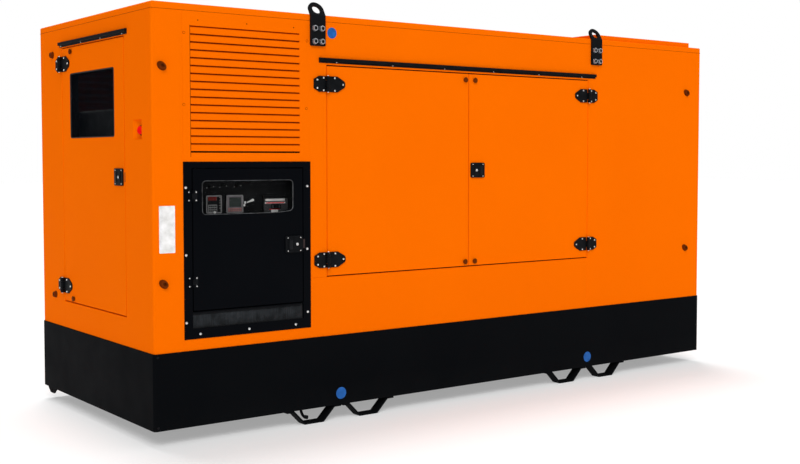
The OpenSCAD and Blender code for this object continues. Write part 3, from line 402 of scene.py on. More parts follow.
canopyPaint = {
    "color": (0.95, 0.156, 0.0), "shade": (0.93, 0.149, 0.0), "rough": (0.34, 0.46), "specular": 0.001,
    "dustColor": (0.6, 0.2, 0.03), "lining": {"Half Length": 2.0955, "Half Width": 0.7645, "Top": 2.2505},
}
coatings = {
    "canopyOrange": {**canopyPaint, "dust": 0.05},
    # the recess colour is painted shade in the slots between the louvre blades
    "louvreOrange": {**canopyPaint, "dust": 0.03, "recess": (0.42, 0.16, 0.1)},
    "doorOrange": {
        "color": (0.955, 0.157, 0.0), "shade": (0.935, 0.150, 0.0), "rough": (0.34, 0.46), "specular": 0.001,
        "dust": 0.04, "dustColor": (0.6, 0.2, 0.03),
    },
    "baseBlack": {
        "color": (0.0031, 0.0036, 0.0045), "shade": (0.0042, 0.0047, 0.0056), "rough": (0.38, 0.5),
        "specular": 0.005, "dust": 0.1, "dustColor": (0.05, 0.048, 0.045), "lowBand": 0.22,
    },
    "cabinetBlack": {
        "color": (0.0016, 0.0021, 0.0033), "shade": (0.0026, 0.0031, 0.0043), "rough": (0.34, 0.46),
        "specular": 0.02, "dust": 0.06, "dustColor": (0.1, 0.1, 0.1),
    },
    "plateBlack": {
        "color": (0.0045, 0.005, 0.006), "shade": (0.006, 0.0065, 0.0075), "rough": (0.3, 0.42),
        "specular": 0.06, "dust": 0.04, "dustColor": (0.12, 0.12, 0.12),
    },
    "enginePaint": {
        "color": (0.11, 0.125, 0.13), "shade": (0.085, 0.095, 0.1), "rough": (0.42, 0.6), "specular": 0.4,
        "dust": 0.25, "peel": 180.0, "bump": 0.0002,
    },
    "alternatorPaint": {
        "color": (0.035, 0.05, 0.07), "shade": (0.028, 0.04, 0.055), "rough": (0.42, 0.58), "specular": 0.4,
        "dust": 0.25, "peel": 200.0, "bump": 0.0002,
    },
    "radiatorBlack": {
        "color": (0.012, 0.012, 0.013), "shade": (0.02, 0.02, 0.021), "rough": (0.55, 0.75), "specular": 0.3,
        "dust": 0.3, "dustColor": (0.12, 0.11, 0.1),
    },
}
mouldings = {  # colour, roughness, specular, then grain, its height and how much paler the clouds are
    "fittingBlack": ((0.004, 0.0045, 0.0055), (0.35, 0.5), 0.04),
    # dark orange-brown of the plugs, catches and rivets, partly painted shade; the lines under the eave and left of
    # the louvre blades use it as painted shadow
    "plugBrown": ((0.105, 0.018, 0.001), (0.4, 0.55), 0.01),
    "keeperGrey": ((0.03, 0.02, 0.02), (0.4, 0.55), 0.05),
    "sealRubber": ((0.012, 0.012, 0.013), (0.6, 0.8), 0.25, 500.0, 0.0001),
    "buttonRed": ((0.74, 0.003, 0.005), (0.25, 0.35), 0.02),
    "instrumentDark": ((0.006, 0.0065, 0.007), (0.4, 0.55), 0.06),
    "coverGrey": ((0.045, 0.046, 0.048), (0.4, 0.55), 0.15),
    "mauveGrey": ((0.13, 0.115, 0.125), (0.4, 0.55), 0.15),
    "labelWhite": ((0.72, 0.72, 0.7), (0.35, 0.5)),
    "fittingGloss": ((0.005, 0.0055, 0.007), (0.25, 0.36), 0.1, 900.0, 0.00001),
    "bezelGrey": ((0.2, 0.2, 0.2), (0.4, 0.55), 0.2),
    "displayRed": ((0.11, 0.006, 0.004), (0.2, 0.3), 0.2),
    "screenGlass": ((0.012, 0.02, 0.017), (0.1, 0.2), 0.3),
    "keyRose": ((0.3, 0.13, 0.12), (0.4, 0.55), 0.2),
    "discBlue": ((0.012, 0.09, 0.32), (0.35, 0.5), 0.1),
    "trimGrey": ((0.02, 0.021, 0.022), (0.3, 0.45), 0.1, 900.0, 0.00003, 9.0),
    "brushGrey": ((0.0105, 0.012, 0.0137), (0.6, 0.8), 0.1, 500.0, 0.00005, 2.6),
    "baffleGrey": ((0.36, 0.366, 0.37), (0.5, 0.65), 0.1),
    "pipeWrap": ((0.22, 0.215, 0.2), (0.75, 0.9), 0.1, 220.0, 0.0012),
}
metals = {  # colour, roughness, then the scale of the lines and their height
    "boltSteel": ((0.16, 0.17, 0.19), (0.22, 0.34)),
    "headSteel": ((0.68, 0.69, 0.71), (0.38, 0.5)),
    "screwSteel": ((0.62, 0.62, 0.6), (0.25, 0.4)),
    "brightSteel": ((0.95, 0.95, 0.93), (0.3, 0.45), 300.0, 0.00001),
    "dullSteel": ((0.3, 0.3, 0.29), (0.4, 0.6), 60.0),
}
panes = {  # tint, how much they hide, specular
    "doorPane": ((0.004, 0.0048, 0.0064), 0.62, 0.0),
    "cabinetPane": ((0.004, 0.0045, 0.005), 0.12, 0.02),
}
finishes = {name: coatedFinish(name, paint) for name, paint in coatings.items()}
for make, table in ((mouldedFinish, mouldings), (metalFinish, metals), (paneFinish, panes)):
    finishes.update({name: make(name, *look) for name, look in table.items()})
finishes["foamGrey"] = foamFinish("foamGrey", foamTone)
print("finishes ready")

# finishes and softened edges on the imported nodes

nodeFinish = {
    "canopyOrange": [
        "corner_panel", "front_post", "front_sill", "front_header", "front_wall_right", "back_wall",
        "end_jamb_front", "end_jamb_back", "end_header", "end_sill", "right_end_wall", "roof",
        "discharge_grille", "back_doors", "right_end_cover",
    ],
    "louvreOrange": ["louvre_panel", "back_louvre_panel"],
    "doorOrange": ["front_door_left", "front_door_right", "end_door"],
    "baseBlack": ["base_tank", "fork_hoops_front", "fork_hoops_back", "engine_rails"],
    "cabinetBlack": ["control_cabinet", "control_door"],
    "fittingBlack": [
        "rain_gutters", "hinge_leaves", "back_hardware", "front_door_left_hinges", "front_door_right_hardware",
        "end_door_hardware", "control_door_hardware",
    ],
    "plateBlack": ["lifting_eyes_front", "lifting_eyes_back"],
    "instrumentDark": ["instrument_panel"],
    "sealRubber": ["cable_flap"],
    "buttonRed": ["stop_button"],
    "enginePaint": ["engine"],
    "alternatorPaint": ["alternator"],
    "radiatorBlack": ["radiator"],
    "dullSteel": ["silencer"],
    "foamGrey": ["front_door_left_lining", "front_door_right_lining", "end_door_lining"],
    "doorPane": ["end_door_window"],
    "cabinetPane": ["control_door_window"],
}
edgeRadius = {  # on sheet it stays under half the sheet's thickness
    "canopyOrange": 0.0012, "louvreOrange": 0.0012, "doorOrange": 0.0012, "baseBlack": 0.003,
    "cabinetBlack": 0.0012, "fittingBlack": 0.001, "plateBlack": 0.0015, "enginePaint": 0.006,
    "alternatorPaint": 0.006, "radiatorBlack": 0.004,
}
softening = {"weld": 0.00002, "flat": 1.0, "segments": 2, "corner": 35}  # metres, degrees, count, degrees


def softenEdges(thing, radius):
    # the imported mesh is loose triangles: join them, clear the flat faces, then round the edges
    weld = thing.modifiers.new("joinFaces", "WELD")
    weld.merge_threshold = softening["weld"]
    flat = thing.modifiers.new("clearFlats", "DECIMATE")
    flat.decimate_type = "DISSOLVE"
    flat.angle_limit = math.radians(softening["flat"])
    bevel = thing.modifiers.new("roundEdges", "BEVEL")
    bevel.width = radius
    bevel.segments = softening["segments"]
    bevel.limit_method = "ANGLE"
    bevel.angle_limit = math.radians(softening["corner"])
    bevel.harden_normals = True


for finish, names in nodeFinish.items():
    for name in names:
        node = nodes[name]
        node.data.materials.clear()
        node.data.materials.append(finishes[finish])
        if finish in edgeRadius:
            softenEdges(node, edgeRadius[finish])
print("packed nodes dressed")

# shapes worked out with numpy


def shell(rings):
    # rows x points x 3: each closed ring is joined to the next by faces, and both ends are capped
    rows, count = rings.shape[:2]
    index = np.arange(rows * count).reshape(rows, count)
    ahead = np.roll(index, -1, axis=1)
    sides = np.stack([index[:-1], ahead[:-1], ahead[1:], index[1:]], axis=-1).reshape(-1, 4)
    return rings.reshape(-1, 3), sides.tolist() + [index[0][::-1].tolist(), index[-1].tolist()]


def closedTube(rings):
    # as shell, but the last ring is joined to the first and nothing is capped
    index = np.arange(rings.shape[0] * rings.shape[1]).reshape(rings.shape[:2])
    after = np.roll(index, -1, axis=0)
    faces = np.stack([index, after, np.roll(after, -1, axis=1), np.roll(index, -1, axis=1)], axis=-1)
    return rings.reshape(-1, 3), faces.reshape(-1, 4).tolist()


def turns(count, start=0.0):
    return start + np.linspace(0, 2 * np.pi, count, endpoint=False)


def turned(profile, steps=20, start=0.0):
    # each profile point (radius, height) goes round the Z axis: x = r cos a, y = r sin a
    profile = np.array(profile, float)
    angle = turns(steps, start)
    ring = np.stack([np.cos(angle), np.sin(angle), np.zeros(steps)], axis=1)
    return shell(profile[:, None, :1] * ring + np.array([0, 0, 1]) * profile[:, None, 1:])


def roundedOutline(width, height, radius, steps=5):
    # quarter circles about the four corner centres, counter-clockwise
    quarter = np.linspace(0, np.pi / 2, steps)
    middle = np.array([[1, 1], [-1, 1], [-1, -1], [1, -1]]) * [width / 2 - radius, height / 2 - radius]
    angle = quarter + np.arange(4)[:, None] * np.pi / 2
    return (middle[:, None] + radius * np.stack([np.cos(angle), np.sin(angle)], axis=-1)).reshape(-1, 2)


def insetOutline(outline, inset):
    # every corner moves inwards by the same distance from both of its edges
    edge = np.roll(outline, -1, axis=0) - outline
    normal = np.stack([edge[:, 1], -edge[:, 0]], axis=1)
    normal /= np.linalg.norm(normal, axis=1, keepdims=True)
    before = np.roll(normal, 1, axis=0)
    return outline - inset * (normal + before) / (1 + np.sum(normal * before, axis=1, keepdims=True))


def leveled(outline, inset, height):
    return np.column_stack([insetOutline(outline, inset), np.full(len(outline), height)])


def plate(outline, levels):
    # the outline, shrunk by each level's inset, stacked at each level's height
    outline = np.array(outline, float)
    return shell(np.stack([leveled(outline, inset, height) for inset, height in levels]))


def slab(width, height, radius, steps, levels):
    return plate(roundedOutline(width, height, radius, steps), levels)


def tile(width, height, radius, low, high):
    # a flat key or panel with a narrow chamfer round its top
    chamfer = 0.0005
    return slab(width, height, radius, 3, [(0, low), (0, high - chamfer), (chamfer, high)])


def smoothPath(points, count=32):
    # a cubic between neighbouring points, sloped along the chord across each of them
    points = np.array(points, float)
    knots = np.concatenate([[0], np.cumsum(np.linalg.norm(np.diff(points, axis=0), axis=1))])
    slopes = np.gradient(points, knots, axis=0)
    along = np.linspace(0, knots[-1], count)
    i = np.clip(np.searchsorted(knots, along, side="right") - 1, 0, len(knots) - 2)
    span = (knots[i + 1] - knots[i])[:, None]
    u = (along - knots[i])[:, None] / span
    return (
        (2 * u**3 - 3 * u**2 + 1) * points[i] + (u**3 - 2 * u**2 + u) * span * slopes[i]
        + (3 * u**2 - 2 * u**3) * points[i + 1] + (u**3 - u**2) * span * slopes[i + 1]
    )


def carried(outline, path, up, scale=None):
    # the outline's (a, b) becomes path + a * side + b * rise at every step of the path
    path = np.array(path, float)
    ahead = np.gradient(path, axis=0)
    ahead /= np.linalg.norm(ahead, axis=1, keepdims=True)
    side = np.cross(ahead, np.array(up, float))
    side /= np.linalg.norm(side, axis=1, keepdims=True)
    rise = np.cross(ahead, side)
    size = np.ones(len(path)) if scale is None else np.array(scale, float)
    outline = np.array(outline, float)
    spread = outline[:, 0, None] * side[:, None] + outline[:, 1, None] * rise[:, None]
    return shell(path[:, None] + size[:, None, None] * spread)


def circle(radius, steps=12):
    return radius * np.stack([np.cos(turns(steps)), np.sin(turns(steps))], axis=1)


def oblong(width, height):
    x, y = width / 2, height / 2
    return [(-x, -y), (x, -y), (x, y), (-x, y)]


def loopOf(outline, path):
    # the outline carried round a closed flat path (in X and Y), with mitred corners: a is outwards, b is along Z
    path = np.array(path, float)
    return closedTube(np.stack([leveled(path, -a, b) for a, b in outline], axis=1))


def moved(part, shift=(0, 0, 0), turn=None):
    verts, faces = part
    if turn is not None:
        verts = verts @ np.array(turn, float).T
    return verts + np.array(shift, float), faces


def spin(degrees):
    # a turn about the part's own Z axis
    c, s = math.cos(math.radians(degrees)), math.sin(math.radians(degrees))
    return [[c, -s, 0], [s, c, 0], [0, 0, 1]]


toX = [[0, 0, 1], [0, 1, 0], [-1, 0, 0]]  # the part's Z points along +X
toMinusX = [[0, 0, -1], [0, 1, 0], [1, 0, 0]]
mirrorX = [[0, 0, 1], [0, 1, 0], [1, 0, 0]]  # X and Z change places, which turns the faces inside out
overX = [[1, 0, 0], [0, -1, 0], [0, 0, -1]]  # half a turn about X
overY = [[-1, 0, 0], [0, 1, 0], [0, 0, -1]]  # half a turn about Y


def copied(part, shifts):
    # one copy for each shift, all in one mesh
    verts, faces = part
    shifts = np.array(shifts, float)
    count = len(verts)
    every = (verts[None] + shifts[:, None]).reshape(-1, 3)
    return every, [[i + k * count for i in face] for k in range(len(shifts)) for face in faces]


# the four sides of the canopy: origin, right as seen from outside, and out
halfLength = 2.145
halfWidth = 0.795
sideFrames = {
    "front": ((0, -halfWidth, 0), (1, 0, 0), (0, -1, 0)),
    "end": ((-halfLength, 0, 0), (0, -1, 0), (-1, 0, 0)),
    "back": ((0, halfWidth, 0), (-1, 0, 0), (0, 1, 0)),
    "rightEnd": ((halfLength, 0, 0), (0, 1, 0), (1, 0, 0)),
}
bothLongSides = (("front", 1), ("back", -1))


def onSide(part, side, places, lift=0.0):
    # copies at (across, height) places: world = origin + across * right + height * up + (z + lift) * out
    origin, right, out = (np.array(v, float) for v in sideFrames[side])
    axes = np.stack([right, np.array([0, 0, 1.0]), out])
    verts = part[0] @ axes + origin + lift * out
    return copied((verts, part[1]), np.array(places, float) @ axes[:2])


def standing(part, side, places):
    # as onSide, but the part's own Z stays upright and its Y points into the canopy: places are (across, out, height)
    origin, right, out = (np.array(v, float) for v in sideFrames[side])
    verts = part[0] @ np.stack([right, -out, [0, 0, 1.0]]) + origin
    return copied((verts, part[1]), np.array(places, float) @ np.stack([right, out, [0, 0, 1.0]]))


def joined(parts):
    offsets = np.cumsum([0] + [len(verts) for verts, faces in parts])
    faces = [[i + start for i in face] for (verts, group), start in zip(parts, offsets) for face in group]
    return np.concatenate([verts for verts, group in parts]), faces


roundSharp = 60  # the least corner kept sharp on round things, in degrees
hexSharp = 20


def makePiece(name, finish, parts, body="enclosure", sharp=35):
    verts, faces = joined(parts)
    data = bpy.data.meshes.new(name)
    data.from_pydata(verts.tolist(), [], faces)
    data.polygons.foreach_set("use_smooth", np.ones(len(faces), bool))
    data.set_sharp_from_angle(angle=math.radians(sharp))
    data.materials.append(finishes[finish])
    piece = bpy.data.objects.new(name, data)
    bpy.context.scene.collection.objects.link(piece)
    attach(piece, body)


def makeOn(side, name, finish, part, places, lift=0.0, body="enclosure", sharp=35):
    makePiece(name, finish, [onSide(part, side, places, lift)], body, sharp)


def domeScrew(radius, height, steps=12):
    # a low dome with a round socket sunk in its middle
    rows = [(1, 0), (1, 0.35), (0.87, 0.75), (0.55, 1), (0.42, 1), (0.38, 0.45), (0.01, 0.45)]
    return turned([(r * radius, h * height) for r, h in rows], steps)


def washer(radius, height, steps=20, wall=0.7, bevel=0.3, middle=0.0002):
    # a flat ring's outer wall, closed across its top
    return turned([(radius, 0), (radius, height * wall), (radius - height * bevel, height), (middle, height)], steps)


# holdback catches on the walls, and the buttons on the doors that they hold

holdbacks = {
    "steps": 24,
    "oval": 1.38, "lean": -38, "shift": (0.011, -0.009, 0),  # the cups on the front are long ones that lean; the stretch down to the right is partly a painted shadow of each cup
    "catch": [
        (0.0205, 0), (0.0205, 0.0032), (0.0176, 0.0058), (0.0168, 0.0146), (0.0148, 0.0175), (0.0086, 0.0175),
        (0.0072, 0.008), (0.0002, 0.008),
    ],
    "button": [
        (0.012, 0), (0.012, 0.0025), (0.0086, 0.004), (0.008, 0.0058), (0.0155, 0.0074), (0.0162, 0.0096),
        (0.0124, 0.0118), (0.0002, 0.012),
    ],
    "rows": [  # door, its side, across of the button and of the hinge's axis, heights
        ("front_door_left", "front", -0.079, -1.0895, (1.968, 0.854)),
        ("front_door_right", "front", -0.002, 0.9895, (1.968, 0.854)),
        ("end_door", "end", -0.289, -0.435, (2.106, 0.669)),
    ],
}
for door, side, across, axis, heights in holdbacks["rows"]:
    for kind, place, body in (("catch", 2 * axis - across, "enclosure"), ("button", across, door)):
        cup = turned(holdbacks[kind], holdbacks["steps"])
        if kind == "catch" and side == "front":
            cup = moved((cup[0] * [holdbacks["oval"], 1, 1], cup[1]), holdbacks["shift"], spin(holdbacks["lean"]))
        makeOn(side, door + "_" + kind, "plugBrown", cup, [(place, height) for height in heights], body=body)
print("holdbacks ready")

# screws, pin ends and fillers of the door hinges

hinges = {
    "pinSteps": 14,
    "screw": (0.0058, 0.0034, 10),
    "leafLift": 0.007, "fixedDrop": 0.001,  # screws of leaves that stay shut sit a little deeper
    "frameScrews": [(-0.066, 0.023), (-0.066, -0.023), (-0.024, 0.035), (-0.024, -0.035)],
    "doorScrews": [(0.05, 0.035), (0.05, -0.035), (0.106, 0.0)],
    "filler": (0.0105, 0.040, 0.001, 3), "fillerAcross": 0.0062,
    "fillerLevels": [(0, 0.0002), (0, 0.0052), (0.0006, 0.0058)],
    "pinOut": 0.015, "pinHalf": 0.044,
    "pin": [(0.0062, 0), (0.0068, 0.0008), (0.0062, 0.0026), (0.0035, 0.0042), (0.0002, 0.0046)],
    "longHeights": (0.918, 1.904), "endHeights": (0.738, 2.041),
    "rows": [  # name, side, across of the pin, +1 where the door is on its right, the door's body
        ("front_left", "front", -1.0895, 1, "front_door_left"),
        ("front_right", "front", 0.9895, -1, "front_door_right"),
        ("end", "end", -0.435, 1, "end_door"),
        ("back_left", "back", 1.0895, -1, "enclosure"),
        ("back_right", "back", -0.9895, 1, "enclosure"),
        ("right_end", "rightEnd", 0.435, -1, "enclosure"),
    ],
}
for name, side, across, turn, door in hinges["rows"]:
    heights = hinges["endHeights" if "end" in side.lower() else "longHeights"]
    for kind, body in (("frameScrews", "enclosure"), ("doorScrews", door)):
        drop = hinges["fixedDrop"] if body == "enclosure" and kind == "doorScrews" else 0
        places = [(across + turn * x, height + z) for height in heights for x, z in hinges[kind]]
        screw = domeScrew(*hinges["screw"])
        makeOn(side, "hinge_" + name + "_" + kind, "brightSteel", screw, places, hinges["leafLift"] - drop, body)
    pin = turned(hinges["pin"], hinges["pinSteps"])
    makePiece("hinge_" + name + "_pins", "brightSteel", [
        standing(part, side, [(across, hinges["pinOut"], height + reach) for height in heights])
        for part, reach in ((pin, hinges["pinHalf"]), (moved(pin, turn=overX), -hinges["pinHalf"]))
    ])
    filler = slab(*hinges["filler"], hinges["fillerLevels"])
    places = [(across - turn * hinges["fillerAcross"], height) for height in heights]
    makeOn(side, "hinge_" + name + "_filler", "fittingBlack", filler, places)
print("hinge fittings ready")

# locks: key barrel, paddle, plate screws and the keeper beside the door

locks = {
    "collarSteps": 20, "faceSteps": 18,
    "screw": (0.0036, 0.0016, 10), "plateLift": 0.008,
    "screws": [(-0.0405, 0.036), (0.0405, 0.036), (-0.0405, -0.036), (0.0405, -0.036)],
    "paddle": (0.02, 0.056, 0.005, 4), "paddleAcross": 0.024,
    "paddleLevels": [(0, 0.0105), (0, 0.0128), (0.0015, 0.0146), (0.0045, 0.0152)],
    "barrelAcross": -0.0154,
    "collar": [
        (0.0112, 0.0105), (0.0112, 0.0125), (0.0098, 0.0138), (0.0082, 0.0138), (0.0078, 0.0108), (0.0002, 0.0108),
    ],
    "face": [(0.0076, 0.0148), (0.0076, 0.0154), (0.0068, 0.016), (0.0002, 0.016)],
    "slot": (0.0016, 0.0085, 0.0007, 3), "slotLevels": [(0, 0.0155), (0, 0.0163)],
    "keeper": (0.051, 0.0015, 3), "keeperLevels": [(0, -0.004), (0, 0.0016), (0.0005, 0.0022)],
    "rows": [  # name, side, place, -1 on a door's right-hand edge, body, lift, then the keeper's across and width
        ("front", "front", (0.0205, 1.4165), 1, "front_door_right", 0, None),
        ("end", "end", (0.3845, 1.3895), -1, "end_door", 0, (0.4575, 0.0035)),
        ("cabinet", "front", (-1.311, 1.017), -1, "control_door", 0.003, (-1.2445, 0.0115)),
        ("back", "back", (-0.0205, 1.4165), -1, "enclosure", 0, None),
        ("right_end", "rightEnd", (-0.3845, 1.3895), 1, "enclosure", 0, None),
    ],
}
for name, side, (x, z), turn, body, lift, keeper in locks["rows"]:
    barrel = [(x + turn * locks["barrelAcross"], z)]
    makePiece("lock_" + name + "_paddle", "fittingGloss", [
        onSide(slab(*locks["paddle"], locks["paddleLevels"]), side, [(x + turn * locks["paddleAcross"], z)], lift),
        onSide(turned(locks["collar"], locks["collarSteps"]), side, barrel, lift),
    ], body)
    places = [(x + a, z + b) for a, b in locks["screws"]]
    makePiece("lock_" + name + "_metal", "brightSteel", [
        onSide(domeScrew(*locks["screw"]), side, places, locks["plateLift"] + lift),
        onSide(turned(locks["face"], locks["faceSteps"]), side, barrel, lift),
    ], body)
    slot = slab(*locks["slot"], locks["slotLevels"])
    makeOn(side, "lock_" + name + "_keyhole", "sealRubber", slot, barrel, lift, body)
    if keeper:
        tongue = slab(keeper[1], *locks["keeper"], locks["keeperLevels"])
        makeOn(side, "lock_" + name + "_keeper", "keeperGrey", tongue, [(keeper[0], z)], lift)
print("locks ready")

# screws round the louvres and the cabinet

panelScrews = {
    "ring": (0.0072, 0.0008), "head": (0.0058, 0.0016),
    "louvre": [(-1.963, 2.135), (-1.218, 2.136), (-1.966, 1.766), (-1.223, 1.764)],
    "rivet": (0.0034, 0.0014, 8), "rivets": [(-1.883, 2.2035), (-1.595, 2.2035), (-1.304, 2.2035)],
    "frame": (0.0074, 0.005, 14), "frameLift": 0.003,
    "frames": [
        (-1.9625, 1.338), (-1.9635, 0.988), (-1.9645, 0.635), (-1.2225, 1.336), (-1.2245, 0.988), (-1.2225, 0.636),
        (-1.885, 0.5715), (-1.594, 0.5725), (-1.301, 0.5715),
    ],
    "hinge": (0.0042, 0.0026, 8), "hingeLift": 0.006, "hingeAcross": -1.924, "hingeHeights": (0.845, 1.293),
    "hingeScrews": {
        "frame": ("enclosure", [(-0.0215, 0.0215), (-0.0215, -0.0215)]),
        "door": ("control_door", [(0.0205, 0.0215), (0.0205, -0.0215)]),
    },
}
for side, sign in bothLongSides:
    places = [(sign * x, z) for x, z in panelScrews["louvre"]]
    # the dark rings round the louvre screws are partly painted shade of their recesses
    makeOn(side, side + "_louvre_rings", "plugBrown", washer(*panelScrews["ring"]), places)
    head = domeScrew(*panelScrews["head"])
    makeOn(side, side + "_louvre_screws", "doorOrange", head, places, panelScrews["ring"][1])
    places = [(sign * x, z) for x, z in panelScrews["rivets"]]
    # the rivets' dark brown is partly painted shade
    makeOn(side, side + "_louvre_rivets", "plugBrown", domeScrew(*panelScrews["rivet"]), places)
head = domeScrew(*panelScrews["frame"])
makeOn("front", "cabinet_frame_screws", "brightSteel", head, panelScrews["frames"], panelScrews["frameLift"])
for kind, (body, spots) in panelScrews["hingeScrews"].items():
    places = [(panelScrews["hingeAcross"] + x, height + z) for height in panelScrews["hingeHeights"] for x, z in spots]
    head = domeScrew(*panelScrews["hinge"])
    makeOn("front", "cabinet_hinge_" + kind + "_screws", "brightSteel", head, places, panelScrews["hingeLift"], body)
print("panel screws ready")

# lifting plates: washers and bolt heads over the plain ones

lifting = {
    "headSides": 6, "headTurn": math.pi / 6,
    "plateX": (-1.1505, 1.0615), "boltX": (-0.0235, 0.0235), "boltZ": (2.137, 2.209), "lift": 0.012,
    "washer": (0.0182, 0.0036, 24),
    "head": [
        (0.01675, 0.003), (0.01675, 0.0118), (0.0150, 0.0139), (0.0118, 0.0139), (0.0108, 0.0128), (0.0002, 0.0128),
    ],
}
for side, sign in bothLongSides:
    places = [(sign * (x + dx), z) for x in lifting["plateX"] for dx in lifting["boltX"] for z in lifting["boltZ"]]
    name = "lifting_bolts_" + side
    makeOn(side, name + "_washers", "boltSteel", washer(*lifting["washer"]), places, lifting["lift"])
    head = turned(lifting["head"], lifting["headSides"], lifting["headTurn"])
    makeOn(side, name + "_heads", "headSteel", head, places, lifting["lift"], sharp=hexSharp)
print("lifting bolts ready")

# rain gutters: flange screws and end caps

gutters = {
    "screw": (0.0036, 0.0022, 8), "flange": 0.0025, "screwHeight": 0.0062,
    "cap": [(0, 0), (0.0025, 0), (0.0025, 0.010), (0.0146, 0.010), (0.0146, 0.0286), (0, 0.0286)],
    "capLevels": [(0, -0.0015), (0, 0.0015)],
    "rows": [  # side, height, ends and screws
        ("front", 2.021, (-1.139, 1.055), (-1.023, -0.631, -0.241, 0.150, 0.538, 0.927)),
        ("back", 2.021, (-1.055, 1.139), (1.023, 0.631, 0.241, -0.150, -0.538, -0.927)),
        ("end", 2.142, (-0.4605, 0.4985), (-0.438, -0.13, 0.15, 0.443)),
        ("rightEnd", 2.142, (-0.4985, 0.4605), (0.438, 0.13, -0.15, -0.443)),
    ],
}
verts, faces = moved(plate(gutters["cap"], gutters["capLevels"]), turn=mirrorX)
cap = (verts, [face[::-1] for face in faces])  # the cap lies across the gutter
for side, low, ends, screws in gutters["rows"]:
    places = [(x, low + gutters["screwHeight"]) for x in screws]
    makeOn(side, "gutter_screws_" + side, "brightSteel", domeScrew(*gutters["screw"]), places, gutters["flange"])
    makeOn(side, "gutter_caps_" + side, "fittingBlack", cap, [(x, low) for x in ends])
print("gutters ready")

# orange strips a little behind the faces fill the upright seams and lighten them: painted light where the gaps would
# be in shade

seams = {
    "corner": 0.0008, "levels": [(0, -0.0062), (0, -0.0032)],
    "rows": [  # name, side, across, width, ends, body
        ("front_left", "front", -1.0905, 0.005, (0.823, 2.010), "enclosure"),
        ("front_middle", "front", -0.0513, 0.0044, (0.830, 2.003), "front_door_left"),
        ("front_right", "front", 0.9905, 0.005, (0.823, 2.010), "enclosure"),
        ("end_hinge_side", "end", -0.436, 0.005, (0.643, 2.136), "enclosure"),
        ("end_lock_side", "end", 0.456, 0.005, (0.643, 2.136), "enclosure"),
    ],
}
for name, side, across, width, (low, high), body in seams["rows"]:
    strip = slab(width, high - low, seams["corner"], 3, seams["levels"])
    makeOn(side, "seam_" + name, "doorOrange", strip, [(across, (low + high) / 2)], body=body)
print("seams ready")

# end door's window gasket and the cabinet window's trim

windowTrim = {
    "endWindow": (0.623, 0.368, 0.012), "endMiddle": (0.010, 1.793),
    "gasket": [
        (0.0035, 0), (0.0035, 0.0012), (0.002, 0.0026), (-0.0012, 0.0026), (-0.0025, 0.001), (-0.0025, -0.046),
        (0, -0.046), (0, 0),
    ],
    "cabinetWindow": (0.553, 0.177, 0.022), "cabinetMiddle": (-1.5905, 1.2835), "cabinetLift": 0.003,
    "slant": (0.101, 0.024, 0.026),
    "trim": [
        (0.0009, 0), (0.0009, 0.0007), (0.0004, 0.0012), (-0.0006, 0.0012), (-0.0012, 0.0006), (-0.0012, -0.004),
        (0, -0.004), (0, 0),
    ],
}


def slantedOutline(width, height, radius, cut, rise, bend, steps=7, bendSteps=6, bendUp=0.35):
    # a rounded rectangle with its lower right corner cut by a slanting line, and the cut's upper end rounded again
    outline = roundedOutline(width, height, radius, steps)[:-steps]
    angle = np.linspace(-math.atan2(cut, rise), 0, bendSteps)
    foot = np.array([[width / 2 - cut, -height / 2]])
    middle = np.array([width / 2 - bend, -height / 2 + rise + bend * bendUp])
    return np.concatenate([outline, foot, middle + bend * np.stack([np.cos(angle), np.sin(angle)], axis=1)])


gasket = loopOf(windowTrim["gasket"], roundedOutline(*windowTrim["endWindow"]))
makeOn("end", "end_window_gasket", "sealRubber", gasket, [windowTrim["endMiddle"]], body="end_door")
trim = loopOf(windowTrim["trim"], slantedOutline(*windowTrim["cabinetWindow"], *windowTrim["slant"]))
middle, lift = windowTrim["cabinetMiddle"], windowTrim["cabinetLift"]
makeOn("front", "cabinet_window_trim", "trimGrey", trim, [middle], lift, "control_door")
print("window trims ready")

# instruments behind the cabinet's window

